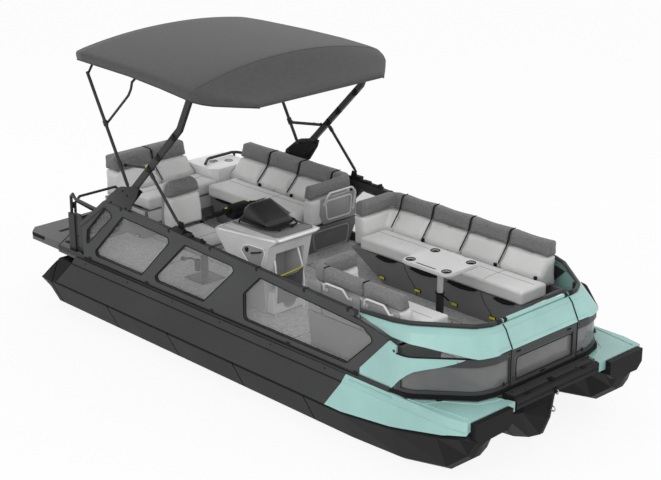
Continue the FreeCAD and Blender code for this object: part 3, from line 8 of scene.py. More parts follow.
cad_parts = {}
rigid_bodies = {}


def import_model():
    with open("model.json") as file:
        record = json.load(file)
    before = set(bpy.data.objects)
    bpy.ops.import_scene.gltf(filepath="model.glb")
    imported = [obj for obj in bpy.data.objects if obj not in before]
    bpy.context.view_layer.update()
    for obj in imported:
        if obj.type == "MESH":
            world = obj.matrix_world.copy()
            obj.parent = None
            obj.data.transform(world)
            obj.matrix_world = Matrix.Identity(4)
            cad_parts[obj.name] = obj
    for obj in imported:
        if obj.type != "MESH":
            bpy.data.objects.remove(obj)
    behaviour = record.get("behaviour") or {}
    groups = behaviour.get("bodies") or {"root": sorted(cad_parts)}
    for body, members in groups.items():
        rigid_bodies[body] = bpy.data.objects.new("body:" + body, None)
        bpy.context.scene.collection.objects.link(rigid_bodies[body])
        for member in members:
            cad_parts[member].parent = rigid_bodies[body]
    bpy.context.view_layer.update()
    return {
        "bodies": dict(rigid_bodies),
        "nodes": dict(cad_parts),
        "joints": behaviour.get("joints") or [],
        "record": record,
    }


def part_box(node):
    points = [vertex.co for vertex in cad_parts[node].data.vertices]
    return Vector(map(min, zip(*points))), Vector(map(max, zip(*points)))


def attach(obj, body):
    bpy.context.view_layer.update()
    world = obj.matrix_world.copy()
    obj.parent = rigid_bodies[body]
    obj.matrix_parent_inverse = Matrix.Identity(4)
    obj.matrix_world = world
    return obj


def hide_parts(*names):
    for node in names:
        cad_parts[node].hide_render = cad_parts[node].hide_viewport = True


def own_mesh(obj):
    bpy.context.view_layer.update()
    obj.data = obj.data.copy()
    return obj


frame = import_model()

record = frame["record"]
nodes = frame["nodes"]
context = bpy.context
collection = context.scene.collection
began = time.time()
ahead, toPort, upward = (1, 0, 0), (0, 1, 0), (0, 0, 1)
sides = (-1, 1)  # starboard and port


def stage(text):
    print("boat scene, %.1f s:" % (time.time() - began), text)


# Nodes: an input gets a value, or a link from another node's output
def feed(tree, node, inputs):
    for label, value in inputs.items():
        if isinstance(value, bpy.types.NodeSocket):
            tree.links.new(value, node.inputs[label])
        else:
            node.inputs[label].default_value = value
    return node


def add(tree, kind, inputs, **settings):
    made = tree.nodes.new("ShaderNode" + kind)
    for label, value in settings.items():
        setattr(made, label, value)
    return feed(tree, made, inputs)


def mathNode(tree, operation, *values):
    return add(tree, "Math", dict(enumerate(values)), operation=operation).outputs[0]


def newGroup(name, inputs, outputs):
    group = bpy.data.node_groups.new(name, "ShaderNodeTree")
    for label, value in inputs.items():
        made = group.interface.new_socket(name=label, in_out="INPUT", socket_type="NodeSocketFloat")
        made.default_value = value
    for label in outputs:
        group.interface.new_socket(name=label, in_out="OUTPUT", socket_type="NodeSocketFloat")
    return group, group.nodes.new("NodeGroupInput").outputs, group.nodes.new("NodeGroupOutput")


def grainGroup():
    group, start, end = newGroup("fineGrain", {"Scale": 400.0, "Blotch": 1.5}, ("Grain", "Patch"))
    spot = add(group, "TexCoord", {}).outputs["Object"]
    for label, detail, result in (("Scale", 3, "Grain"), ("Blotch", 4, "Patch")):
        noise = add(group, "TexNoise", {"Vector": spot, "Scale": start[label], "Detail": detail})
        feed(group, end, {result: noise.outputs["Fac"]})
    return group


def weaveGroup():
    group, start, end = newGroup("wovenThreads", {"Pitch": 300.0, "Fleck": 90.0}, ("Height", "Fleck"))
    spot = add(group, "TexCoord", {}).outputs["Object"]
    waves = [add(group, "TexWave", {"Vector": spot, "Scale": start["Pitch"]}, wave_type="BANDS",
        bands_direction=way).outputs["Fac"] for way in "XYZ"]
    fleck = add(group, "TexVoronoi", {"Vector": spot, "Scale": start["Fleck"]})
    feed(group, end, {"Height": mathNode(group, "MAXIMUM", mathNode(group, "MAXIMUM", *waves[:2]), waves[2]),
        "Fleck": fleck.outputs["Color"]})
    return group


def wearGroup():
    group, start, end = newGroup("rubbedEdges", {"Radius": 0.004, "Amount": 0.5}, ("Edge",))
    bevel = add(group, "Bevel", {"Radius": start["Radius"]}, samples=4)
    flat = add(group, "NewGeometry", {})
    dot = add(group, "VectorMath", {0: bevel.outputs["Normal"], 1: flat.outputs["Normal"]}, operation="DOT_PRODUCT")
    spread = mathNode(group, "SUBTRACT", 1.0, dot.outputs["Value"])
    held = mathNode(group, "MINIMUM", mathNode(group, "MULTIPLY", spread, 4.0), 1.0)
    feed(group, end, {"Edge": mathNode(group, "MULTIPLY", held, start["Amount"])})
    return group


def zonesGroup():
    group, start, end = newGroup("deckZones", {"Stern": -2.33, "Side": 1.13}, ("Inside",))
    coords = add(group, "TexCoord", {}).outputs
    spot = add(group, "SeparateXYZ", {"Vector": coords["Object"]}).outputs
    facing = add(group, "SeparateXYZ", {"Vector": coords["Normal"]}).outputs
    up = mathNode(group, "GREATER_THAN", facing["Z"], 0.5)
    forward = mathNode(group, "GREATER_THAN", spot["X"], start["Stern"])
    within = mathNode(group, "LESS_THAN", mathNode(group, "ABSOLUTE", spot["Y"]), start["Side"])
    feed(group, end, {"Inside": mathNode(group, "MULTIPLY", mathNode(group, "MULTIPLY", up, forward), within)})
    return group


groups = {"zones": zonesGroup(), "grain": grainGroup(), "weave": weaveGroup(), "wear": wearGroup()}
stage("node groups")


# Materials
def place(tree, key, **values):
    return add(tree, "Group", values, node_tree=groups[key]).outputs


def ramp(tree, factor, low, high, lowAt=0.35, highAt=0.65):
    made = add(tree, "ValToRGB", {"Fac": factor})
    for stop, at, colour in zip(made.color_ramp.elements, (lowAt, highAt), (low, high)):
        stop.position = at
        stop.color = (*colour, 1)
    return made.outputs["Color"]


def span(tree, factor, low, high):
    return add(tree, "MapRange", {"Value": factor, "To Min": low, "To Max": high}).outputs["Result"]


def mix(tree, factor, first, second):
    return add(tree, "MixRGB", {"Fac": factor, "Color1": first, "Color2": second}).outputs["Color"]


def shade(colour, factor):
    return tuple(min(1.0, c * factor) for c in colour)


def bump(tree, height, strength, distance):
    return add(tree, "Bump", {"Height": height, "Strength": strength, "Distance": distance}).outputs["Normal"]


def blank(name):
    material = bpy.data.materials.new(name)
    material.use_nodes = True
    return material, material.node_tree, material.node_tree.nodes["Principled BSDF"]


def solid(name, colour, rough, metallic=0.0, grain=350.0, bumpBy=0.15, wear=0.35, wornTo=1.9, sheen=0.0, coat=0.0,
          gloss=0.5):
    material, tree, shader = blank(name)
    grained = place(tree, "grain", Scale=grain)
    body = ramp(tree, grained["Patch"], shade(colour, 0.9), shade(colour, 1.1))
    if wear:
        body = mix(tree, place(tree, "wear", Amount=wear)["Edge"], body, (*shade(colour, wornTo), 1))
    feed(tree, shader, {"Base Color": body, "Roughness": span(tree, grained["Patch"], rough - 0.06, rough + 0.08),
        "Normal": bump(tree, grained["Grain"], bumpBy, 0.0006), "Metallic": metallic, "Specular IOR Level": gloss,
        "Sheen Weight": sheen, "Coat Weight": coat, "Coat Roughness": 0.12})
    return material


def cloth(name, colour, rough=0.85, pitch=260.0, fleck=80.0, fleckBy=0.16, bumpBy=0.5, depth=0.001, sheen=0.25,
          gloss=0.5, rim=None):
    material, tree, shader = blank(name)
    woven = place(tree, "weave", Pitch=pitch, Fleck=fleck)
    tone = ramp(tree, woven["Fleck"], shade(colour, 1 - fleckBy), shade(colour, 1 + fleckBy), 0.2, 0.8)
    if rim:  # plain dark edges and stern end of the deck
        tone = mix(tree, place(tree, "zones")["Inside"], (*rim, 1), tone)
    feed(tree, shader, {"Base Color": tone, "Roughness": rough, "Specular IOR Level": gloss, "Sheen Weight": sheen,
        "Normal": bump(tree, woven["Height"], bumpBy, depth)})
    return material


def pane(name, low, rough, high, alpha):
    material, tree, shader = blank(name)
    patch = place(tree, "grain", Scale=3.0, Blotch=0.8)["Patch"]
    feed(tree, shader, {"Base Color": ramp(tree, patch, low, high),
        "Roughness": span(tree, patch, rough, rough + 0.05), "Alpha": alpha, "IOR": 1.45})
    return material


finishes = {  # kind, material's name, linear colour, roughness, and what differs from the kind's usual values
    "hullBlack": (solid, "hullBlackPolymer", (0.0085, 0.0085, 0.009), 0.5,
                  dict(wear=0.3, wornTo=3.0, grain=220.0, gloss=0.12)),
    "hullGrey": (solid, "hullGreyPolymer", (0.038, 0.0385, 0.0395), 0.5,
                 dict(wear=0.3, wornTo=2.0, grain=220.0, gloss=0.2)),
    "teal": (solid, "tealPanel", (0.29, 0.5, 0.47), 0.42, dict(wear=0.2, wornTo=1.25, coat=0.2)),
    "darkMetal": (solid, "fencePaint", (0.044, 0.045, 0.0465), 0.42,
                  dict(wear=0.4, wornTo=2.2, grain=500.0, gloss=0.25)),
    "deckMat": (cloth, "deckWeave", (0.42, 0.42, 0.422), 0.85,
                dict(pitch=180.0, fleck=55.0, fleckBy=0.22, rim=(0.06, 0.06, 0.062))),
    "platform": (cloth, "platformMat", (0.105, 0.105, 0.106), 0.8,
                 dict(pitch=120.0, fleck=150.0, fleckBy=0.07, gloss=0.2)),
    "baseGrey": (solid, "seatBasePolymer", (0.185, 0.185, 0.188), 0.55, dict(wear=0.3, wornTo=1.5)),
    "vinylLight": (solid, "lightVinyl", (0.62, 0.62, 0.615), 0.5, dict(wear=0.0, grain=520.0, bumpBy=0.35, sheen=0.1)),
    "vinylDark": (cloth, "darkWovenVinyl", (0.15, 0.15, 0.154), 0.65,
                  dict(pitch=330.0, fleck=120.0, fleckBy=0.2, sheen=0.1)),
    "shellLight": (solid, "lightShell", (0.56, 0.56, 0.56), 0.42, dict(wear=0.15, wornTo=1.15, coat=0.15)),
    "shellWhite": (solid, "whiteShell", (0.88, 0.88, 0.88), 0.4, dict(wear=0.1, wornTo=1.05, coat=0.15)),
    "tube": (solid, "darkTube", (0.03, 0.0305, 0.032), 0.4, dict(wear=0.4, wornTo=2.2, grain=600.0, gloss=0.2)),
    "black": (solid, "blackPlastic", (0.012, 0.012, 0.0122), 0.55, dict(wear=0.4, wornTo=3.0, gloss=0.15)),
    "canopy": (cloth, "canopyCloth", (0.064, 0.0645, 0.0655), 0.9,
               dict(pitch=300.0, fleck=40.0, fleckBy=0.06, bumpBy=0.25, sheen=0.15, gloss=0.25)),
    "machine": (solid, "castMetal", (0.16, 0.16, 0.165), 0.5, dict(metallic=0.6, wear=0.5, wornTo=1.8)),
    "yellow": (solid, "yellowTag", (0.62, 0.6, 0.02), 0.6, dict(wear=0.0)),
    "rubber": (solid, "blackRubber", (0.008, 0.008, 0.0085), 0.7, dict(wear=0.0, grain=700.0, gloss=0.12)),
    "seam": (solid, "seamThread", (0.2, 0.2, 0.2), 0.8, dict(wear=0.0, grain=900.0)),
    "shellGrey": (solid, "greyShell", (0.27, 0.27, 0.272), 0.45, dict(wear=0.2, wornTo=1.3, coat=0.1)),
    "dashGrey": (solid, "dashVinyl", (0.155, 0.155, 0.158), 0.55, dict(wear=0.15, wornTo=1.2, grain=600.0, bumpBy=0.3)),
    "hoodBlack": (solid, "mattBlackMoulding", (0.022, 0.022, 0.0235), 0.42,
                  dict(wear=0.25, wornTo=2.0, grain=500.0, bumpBy=0.3, gloss=0.3)),
    "screen": (pane, "instrumentGlass", (0.01, 0.012, 0.016), 0.08, dict(high=(0.02, 0.022, 0.028), alpha=1.0)),
    "net": (cloth, "stowageNetting", (0.035, 0.035, 0.035), 0.9,
            dict(pitch=70.0, fleck=200.0, fleckBy=0.3, bumpBy=0.8, depth=0.003)),
    "grille": (cloth, "speakerCloth", (0.1, 0.1, 0.1), 0.7,
               dict(pitch=150.0, fleck=200.0, fleckBy=0.25, bumpBy=0.8, depth=0.002)),
    "bright": (solid, "brushedSteel", (0.52, 0.52, 0.53), 0.32, dict(metallic=0.9, wear=0.3, wornTo=1.3, grain=900.0)),
    "clearPane": (pane, "clearPane", (0.3, 0.3, 0.3), 0.04, dict(high=(0.38, 0.38, 0.38), alpha=0.24)),
    "smokedPane": (pane, "smokedPane", (0.055, 0.055, 0.057), 0.06, dict(high=(0.19, 0.19, 0.193), alpha=0.8)),
}
materials = {key: kind(name, colour, rough, **values) for key, (kind, name, colour, rough, values) in finishes.items()}
slotFinish = {
    "hull_black": "hullBlack", "hull_polymer": "hullGrey", "teal": "teal", "dark_metal": "darkMetal",
    "smoked_glass": "smokedPane", "deck_mat": "deckMat", "platform_mat": "platform", "base_grey": "baseGrey",
    "vinyl_light": "vinylLight", "vinyl_dark": "vinylDark", "shell_light": "shellLight", "tube_dark": "tube",
    "black_plastic": "black", "canopy_cloth": "canopy", "machine_grey": "machine", "steel": "machine",
}
ownFinish = {"fence_windows": "clearPane", "corner_console": "shellWhite", "helm_hood": "hoodBlack"}
for part in record["subparts"]:
    for slot in nodes[part["node"]].material_slots:
        slot.material = materials[ownFinish.get(part["node"], slotFinish[part["material_slot"]])]
stage("materials on every node")


# Shapes
def newPiece(shape, name, key, body="hull", sharp=35):
    bmesh.ops.remove_doubles(shape, verts=shape.verts, dist=0.00001)
    bmesh.ops.recalc_face_normals(shape, faces=shape.faces)
    for face in shape.faces:
        face.smooth = True
    mesh = bpy.data.meshes.new(name)
    shape.to_mesh(mesh)
    shape.free()
    mesh.materials.append(materials[key])
    piece = bpy.data.objects.new(name, mesh)
    collection.objects.link(piece)
    if sharp:
        mesh.set_sharp_from_angle(angle=math.radians(sharp))
    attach(piece, body)
    return piece


def build(name, key, parts, body="hull", both=False):
    # parts: each a shape function with its values, the named ones last in a dictionary
    shape = bmesh.new()
    for make, *values in parts:
        named = values.pop() if isinstance(values[-1], dict) else {}
        make(shape, *values, **named)
    if both:
        bmesh.ops.mirror(shape, geom=[*shape.verts, *shape.edges, *shape.faces], matrix=Matrix(), merge_dist=-1,
            axis="Y")
    return newPiece(shape, name, key, body)


def edgesOf(verts):
    return list({edge for vert in verts for edge in vert.link_edges})


def roundEdges(shape, verts, round, segments=2, angle=0.5):
    edges = [edge for edge in edgesOf(verts) if len(edge.link_faces) == 2 and edge.calc_face_angle(0) > angle]
    bmesh.ops.bevel(shape, geom=edges, offset=round, segments=segments, affect="EDGES", profile=0.5, material=-1)


def block(shape, low, high, round=0.0, segments=2):
    made = bmesh.ops.create_cube(shape, size=1)["verts"]
    middle = (Vector(low) + Vector(high)) / 2
    size = Vector(high) - Vector(low)
    bmesh.ops.transform(shape, matrix=Matrix.Translation(middle) @ Matrix.Diagonal((*size, 1)), verts=made)
    if round:
        roundEdges(shape, made, round, segments)


def prism(shape, outline, axis, low, high, round=0.0, segments=2):
    # outline: points in the two other axes, in order; axis: 0, 1 or 2
    flat = [shape.verts.new((*pair[:axis], low, *pair[axis:])) for pair in outline]
    grown = bmesh.ops.extrude_face_region(shape, geom=[shape.faces.new(flat)])
    moved = [item for item in grown["geom"] if isinstance(item, bmesh.types.BMVert)]
    bmesh.ops.translate(shape, vec=[high - low if part == axis else 0 for part in range(3)], verts=moved)
    if round:
        roundEdges(shape, flat + moved, round, segments)
    return flat + moved


def bridged(shape, levels, round, segments):
    # one ring of points per level, bridged upwards, closed at both ends and rounded
    rings = []
    for level in levels:
        verts = [shape.verts.new(point) for point in level]
        rings.append([shape.edges.new((verts[step - 1], verts[step])) for step in range(len(verts))])
    for near, far in zip(rings, rings[1:]):
        bmesh.ops.bridge_loops(shape, edges=near + far)
    for end in (rings[0], rings[-1]):
        bmesh.ops.contextual_create(shape, geom=end)
    bmesh.ops.recalc_face_normals(shape, faces=shape.faces)
    roundEdges(shape, shape.verts, round, segments)


def bent(points, radius, count=5):
    # the same line with its corners turned into arcs
    line = [Vector(point) for point in points]
    route = [line[0]]
    for before, corner, after in zip(line, line[1:], line[2:]):
        inward = (before - corner).normalized()
        outward = (after - corner).normalized()
        if inward.cross(outward).length < 0.02:
            route.append(corner)
            continue
        half = inward.angle(outward) / 2
        reach = min(radius / math.tan(half), 0.45 * min((before - corner).length, (after - corner).length))
        size = reach * math.tan(half)
        centre = corner + (inward + outward).normalized() * (size / math.sin(half))
        first = corner + inward * reach - centre
        axle = first.cross(corner + outward * reach - centre).normalized()
        for step in range(count + 1):
            turn = Matrix.Rotation((math.pi - 2 * half) * step / count, 3, axle)
            route.append(centre + turn @ first)
    return route + [line[-1]]


def loopBent(points, radius, count=4):
    line = [Vector(point) for point in points]
    middle = (line[0] + line[-1]) / 2
    return bent([middle] + line + [middle], radius, count)[:-1]


def carryRing(shape, edges, frames, closed):
    # the ring's edges are extruded from each place on the line to the next
    first = edges
    for near, far in zip(frames, frames[1:]):
        grown = bmesh.ops.extrude_edge_only(shape, edges=edges)["geom"]
        verts = [item for item in grown if isinstance(item, bmesh.types.BMVert)]
        edges = [item for item in grown if isinstance(item, bmesh.types.BMEdge) and item.is_boundary]
        bmesh.ops.transform(shape, matrix=far @ near.inverted(), verts=verts)
    if closed:
        bmesh.ops.bridge_loops(shape, edges=first + edges)
    else:
        bmesh.ops.contextual_create(shape, geom=first)
        bmesh.ops.contextual_create(shape, geom=edges)


def along(points, closed):
    # each point with the line's direction there
    points = [Vector(point) for point in points]
    last = len(points) - 1
    for step, point in enumerate(points):
        after = points[step + 1 if step < last else 0 if closed else last]
        before = points[step - 1 if closed or step else 0]
        yield point, (after - before).normalized()


def tube(shape, points, radius, count=10, flat=1.0, closed=False):
    frames = []
    rise = None
    for point, way in along(points, closed):
        rise = way.orthogonal().normalized() if rise is None else rise
        side = way.cross(rise).normalized()
        rise = side.cross(way).normalized()
        turn = Matrix((side, rise, way)).transposed().to_4x4()
        frames.append(Matrix.Translation(point) @ turn @ Matrix.Diagonal((radius, radius * flat, radius, 1)))
    made = bmesh.ops.create_circle(shape, cap_ends=False, segments=count, radius=1, matrix=frames[0])["verts"]
    carryRing(shape, edgesOf(made), frames, closed)


def sweep(shape, points, section, up=upward, closed=False):
    # section: pairs across the line and upwards from it, in order round the strip
    frames = []
    for point, way in along(points, closed):
        across = way.cross(Vector(up)).normalized()
        frames.append(Matrix.Translation(point) @ Matrix((across, across.cross(way), way)).transposed().to_4x4())
    made = [shape.verts.new(frames[0] @ Vector((a, b, 0))) for a, b in section]
    edges = [shape.edges.new((made[step - 1], made[step])) for step in range(len(made))]
    carryRing(shape, edges, frames, closed)


def bar(wide, high, cut=0.2):
    # section of a flat strip that lies on its line, with its upper corners cut
    half = wide / 2
    trim = cut * min(wide, high)
    return [(-half, 0), (half, 0), (half, high - trim), (half - trim, high), (trim - half, high), (-half, high - trim)]


def disc(shape, centre, radius, height, way=upward, count=24, round=0.0, top=None):
    turn = Vector(way).to_track_quat("Z", "Y").to_matrix().to_4x4()
    made = bmesh.ops.create_cone(shape, cap_ends=True, segments=count, radius1=radius, radius2=radius
        if top is None else top, depth=height, matrix=Matrix.Translation(Vector(centre)) @ turn)["verts"]
    if round:
        roundEdges(shape, made, round, 2, 1.0)
    return made


def ring(shape, centre, radius, thick, way=upward, count=28, round=8):
    # a circle of the rim's section spun once about the axis
    turn = Vector(way).to_track_quat("Z", "Y").to_matrix()
    outward, axis = turn @ Vector(ahead), turn @ Vector(upward)
    upright = Matrix((outward, axis, outward.cross(axis))).transposed().to_4x4()
    made = bmesh.ops.create_circle(shape, cap_ends=False, segments=round, radius=thick,
        matrix=Matrix.Translation(Vector(centre) + outward * radius) @ upright)["verts"]
    bmesh.ops.spin(shape, geom=made + edgesOf(made), cent=centre, axis=axis, angle=2 * math.pi, steps=count,
        use_merge=True)


def screw(shape, centre, way, radius=0.007, high=0.003):
    # domed head with a hexagon sunk in it
    out = Vector(way).normalized()
    made = disc(shape, Vector(centre) + out * high / 2, radius, high, way, 16, top=radius * 0.72)
    top = max((face for vert in made for face in vert.link_faces if len(face.verts) > 4),
              key=lambda face: face.calc_center_median().dot(Vector(way)))
    bmesh.ops.inset_region(shape, faces=[top], thickness=radius * 0.3)
    bmesh.ops.translate(shape, vec=out * -high * 0.6, verts=top.verts)


def castOn(node, start, way, missed=None):
    # where a ray along one axis first meets a solid, as the place on that axis
    piece = nodes[node].evaluated_get(context.evaluated_depsgraph_get())
    back = piece.matrix_world.inverted()
    hit, where, normal, index = piece.ray_cast(back @ Vector(start), back.to_3x3() @ Vector(way))
    axis = [abs(part) for part in way].index(1)
    return (piece.matrix_world @ where)[axis] if hit else missed


def steps(a, b, count):
    return [Vector(a).lerp(Vector(b), step / count) for step in range(count + 1)]


# Padded pieces
padFeel = {"voxel": 0.0115, "pressure": 4.0, "frames": 20, "seatCap": 0.01, "backCap": 0.009, "quickPuff": 0.004,
           "fill": 0.75, "inset": 0.006}
padsToSwell = []


def newPad(shape, name, key, body, cap, node):
    piece = newPiece(shape, name, key, body)
    remesh = piece.modifiers.new("remesh", "REMESH")
    remesh.mode = "VOXEL"
    remesh.voxel_size = padFeel["voxel"]
    baked = bpy.data.meshes.new_from_object(piece.evaluated_get(context.evaluated_depsgraph_get()))
    piece.modifiers.remove(remesh)
    old = piece.data
    piece.data = baked
    bpy.data.meshes.remove(old)
    if not baked.materials:
        baked.materials.append(materials[key])
    for polygon in baked.polygons:
        polygon.use_smooth = True
    if node:
        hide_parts(node)
    padsToSwell.append((piece, cap))


def swellPads():
    scene = context.scene
    for piece, cap in padsToSwell:
        swell = piece.modifiers.new("swell", "CLOTH")
        swell.settings.use_pressure = True
        swell.settings.uniform_pressure_force = padFeel["pressure"]
        swell.settings.effector_weights.gravity = 0
        swell.point_cache.frame_start = 1
        swell.point_cache.frame_end = padFeel["frames"]
    for frame in range(1, padFeel["frames"] + 1):
        scene.frame_set(frame)
    graph = context.evaluated_depsgraph_get()
    for piece, cap in padsToSwell:
        verts = piece.data.vertices
        moved = [vert.co.copy() for vert in piece.evaluated_get(graph).data.vertices]
        piece.modifiers.clear()
        for vert, there in zip(verts, moved):
            step = there - vert.co
            vert.co += step * min(1.0, cap / max(step.length, cap))
    scene.frame_set(1)
    stage("padded pieces swollen: %d" % len(padsToSwell))


def boxPad(name, low, high, body, node, round=0.022):
    shape = bmesh.new()
    inset = padFeel["inset"]
    block(shape, [a + inset for a in low], [a - inset for a in high], round, 3)
    newPad(shape, name, "vinylLight", body, padFeel["seatCap"], node)


def levelPad(name, levels, round=0.018, body="hull", node=None):
    # levels: height and plan of each ring
    shape = bmesh.new()
    bridged(shape, [[(x, y, z) for x, y in plan] for z, plan in levels], round, 3)
    newPad(shape, name, "vinylDark" if name.endswith("_head") else "vinylLight", body, padFeel["backCap"], node)


def seamOver(name, pad, points, body, way=(0, 0, -1), key="seam", radius=0.0022):
    # a sewn seam: the line is dropped on the swollen pad
    pad = bpy.data.objects[pad].evaluated_get(context.evaluated_depsgraph_get())
    hits = [pad.ray_cast(Vector(point), Vector(way)) for point in points]
    line = [where + normal * radius * 0.1 for hit, where, normal, index in hits if hit]
    return build(name, key, [(tube, line, radius, 6)], body)


# Bench padding
benches = {  # heights of the padding, gap between two panels, and the slopes of the two rows of backs
    "padFoot": 1.014, "seatBack": 1.15, "seam": 1.297, "headFoot": 1.305, "headTop": 1.444, "gap": 0.005,
    "aftRow": (0.763, 0.902, 1.074), "bowRow": (0.763, 0.872, 1.004), "returnCut": 0.1,
    "mid": (-2.036, -1.584, -1.12, -0.637), "bowPort": (0.39, 0.81, 1.286, 1.763, 2.25),
    "bowStarboard": (1.285, 1.767, 2.226), "stern": (-0.401, 0.091, 0.547), "sternRear": -2.692,
    "piping": 0.0058,
}
aftRow, bowRow, headTop, gap = (benches[key] for key in ("aftRow", "bowRow", "headTop", "gap"))
lids = {"mid_seat": "mid_lid", "bow_port_seat_aft": "bow_port_lid_aft", "bow_port_seat_fore": "bow_port_lid_fore",
        "bow_starboard_seat": "bow_starboard_lid", "stern_seat": "stern_lid"}
for node, body in lids.items():
    boxPad(node + "_pad", *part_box(node), body, node)


def backPads(name, plans, node=None, tops=(-0.02, 0.0)):
    # plans: the panel's foot and top, then the headrest's three
    foot, top, *head = plans
    levelPad(name + "_panel", [(benches["padFoot"], foot), (benches["seatBack"], foot), (benches["seam"], top)],
             node=node)
    levelPad(name + "_head", zip((benches["headFoot"], headTop + tops[0], headTop + tops[1]), head), 0.016)


def straightBack(name, a, b, slope, flip=1, node=None):
    # backrest between two places along a side bench
    front, lean, rear = slope

    def plan(near, far=rear):
        near, far = flip * near, flip * far
        return [(a + gap, near), (b - gap, near), (b - gap, far), (a + gap, far)][::flip]
    backPads(name, [plan(front), plan(lean), plan(lean + 0.006), plan(lean + 0.042), plan(lean + 0.056, rear - 0.01)],
             node)


def cornerBack(name, a, b, c, slope, inboard, flip=1, toBow=1):
    # the return at a bench's end: a is its outer face, b its seat-side face, c where the straight run begins
    front, lean, rear = slope
    cut = benches["returnCut"]

    def plan(near, shift=0.0, inset=0.0):
        face, end = b - toBow * shift, a + toBow * inset
        corners = [(c, near), (face, near), (face, inboard + inset), (end, inboard + inset), (end, rear - cut),
                   (end + toBow * cut, rear - inset), (c, rear - inset)]
        return [(x, flip * y) for x, y in corners][::-1 if flip * toBow > 0 else 1]
    backPads(name, [plan(front), plan(lean, 0.025), plan(lean + 0.006, 0.022), plan(lean + 0.042, 0.032, 0.008),
        plan(lean + 0.056, 0.042, 0.02)])


for name, first, last in zip(("Aft", "Middle", "Fore"), benches["mid"], benches["mid"][1:]):
    straightBack("midBack" + name, first, last, aftRow, node="mid_back" if name == "Aft" else None)
cornerBack("midBackCorner", -0.408, -0.528, -0.632, aftRow, 0.425, toBow=-1)
for key, flip, corner, node in (("bowPort", 1, (0.18, 0.318, 0.395, bowRow, 0.46), "bow_port_back"),
        ("bowStarboard", -1, (1.094, 1.228, 1.29, bowRow, 0.482), "bow_starboard_back")):
    cornerBack(key + "Corner", *corner, flip)
    for count, (first, last) in enumerate(zip(benches[key], benches[key][1:])):
        straightBack(key + "Back%d" % count, first, last, bowRow, flip, None if count else node)
for count, (first, last) in enumerate(zip(benches["stern"], benches["stern"][1:])):
    first, last = first + gap, last - gap
    places = [(-2.345,), (-2.478,), (-2.486,), (-2.522,), (-2.536, -2.682)]
    plans = [[(near, last), (rear, last), (rear, first), (near, first)]
             for near, *rears in places for rear in rears or [benches["sternRear"]]]
    backPads("sternBack%d" % count, plans, None if count else "stern_back", (-0.008, 0.012))


def jointLine(x, slope, flip):
    # dark piping in the joint between two back panels
    front, lean, rear = slope
    places = [(front - 0.002, 1.15), (lean - 0.004, 1.29), (lean + 0.004, 1.306), (lean + 0.038, headTop - 0.026),
              (lean + 0.056, headTop - 0.004), (rear - 0.012, headTop - 0.004)]
    return tube, bent([(x, flip * y, z) for y, z in places], 0.01, 2), benches["piping"], 6


build("backJoints", "rubber", [jointLine(x, aftRow, 1) for x in (-1.584, -1.12, -0.634)] +
    [jointLine(x, bowRow, 1) for x in (0.392, 0.81, 1.286, 1.763)] +
    [jointLine(x, bowRow, -1) for x in (1.288, 1.767)])
places = [(-2.343, 1.15), (-2.474, 1.29), (-2.484, 1.306), (-2.519, headTop - 0.014), (-2.536, headTop + 0.008),
          (-2.68, headTop + 0.008)]
build("sternJoint", "rubber", [(tube, bent([(x, benches["stern"][1], z) for x, z in places], 0.01, 2),
    benches["piping"], 6)])
stage("bench padding")

chair = {"seatLow": (-1.048, -0.872, 1.052), "seatHigh": (-0.566, -0.438, 1.146), "sides": (-0.868, -0.442),
    "panel": [(1.158, -1.022, -1.114, 0.0), (1.32, -1.03, -1.128, 0.0), (1.47, -1.038, -1.136, 0.02)],
    "head": [(1.478, -1.036, -1.134, 0.015), (1.57, -1.042, -1.136, 0.035), (1.626, -1.058, -1.128, 0.085)]}
boxPad("chairSeat_pad", chair["seatLow"], chair["seatHigh"], "chair", "chair_seat", 0.03)
near, far = chair["sides"]
for part, round, node in (("panel", 0.018, "chair_back"), ("head", 0.022, None)):
    levels = [(z, [(fore, near + narrow), (fore, far - narrow), (aft, far - narrow), (aft, near + narrow)])
              for z, fore, aft, narrow in chair[part]]
    levelPad("chairBack_" + part, levels, round, "chair", node)
swellPads()


# Canopy
canopyForm = {  # at each length: half width, height of the edge, depth of the side flap, height of the crown
    "stations": [(-2.09, 1.106, 2.793, 0.09, 2.892), (-1.9, 1.124, 2.8, 0.092, 2.9),
                 (-1.2, 1.156, 2.804, 0.094, 2.911), (-0.7, 1.186, 2.792, 0.098, 2.917),
                 (-0.35, 1.199, 2.77, 0.1, 2.92), (-0.24, 1.2, 2.757, 0.098, 2.918),
                 (-0.215, 1.197, 2.75, 0.094, 2.91), (-0.12, 1.16, 2.728, 0.082, 2.856),
                 (-0.04, 1.105, 2.71, 0.072, 2.806), (0.1, 0.955, 2.68, 0.052, 2.722),
                 (0.235, 0.8, 2.652, 0.034, 2.656)],
    "cloth": 0.004, "across": 28, "creaseX": -0.228, "flat": (2.62, 2.52), "flapDrop": 0.022, "hem": 0.0055,
    "frontDrops": (0.35, 1.0),
}


def canopyRow(x, half, edge, flap, crown):
    across = canopyForm["across"]
    top = []
    for step in range(across + 1):
        turn = 1 - 2 * step / across
        shoulder = 0.004 if step in (0, across) else 0
        top.append((x, (half - 0.014) * turn, edge + (crown - edge) * (1 - abs(turn) ** 2.1) - shoulder))
    side = [(x, half - 0.012, edge - flap), (x, half - 0.002, edge - flap * 0.55),
        (x, half, edge - canopyForm["flapDrop"])]
    return side + top + [(x, -y, z) for x, y, z in side[::-1]]


def frontPoint(x, y, z, drop):
    # the front edge is turned down, except at the flaps
    foreX, foreHalf, foreEdge, foreFlap, foreCrown = canopyForm["stations"][-1]
    if abs(y) >= foreHalf - 0.003:
        return foreX + 0.003, y, z
    fold = foreEdge - canopyForm["flapDrop"]
    return foreX + 0.004, y, min(z, fold + (z - fold) * (1 - drop)) - foreFlap * 0.3 * drop


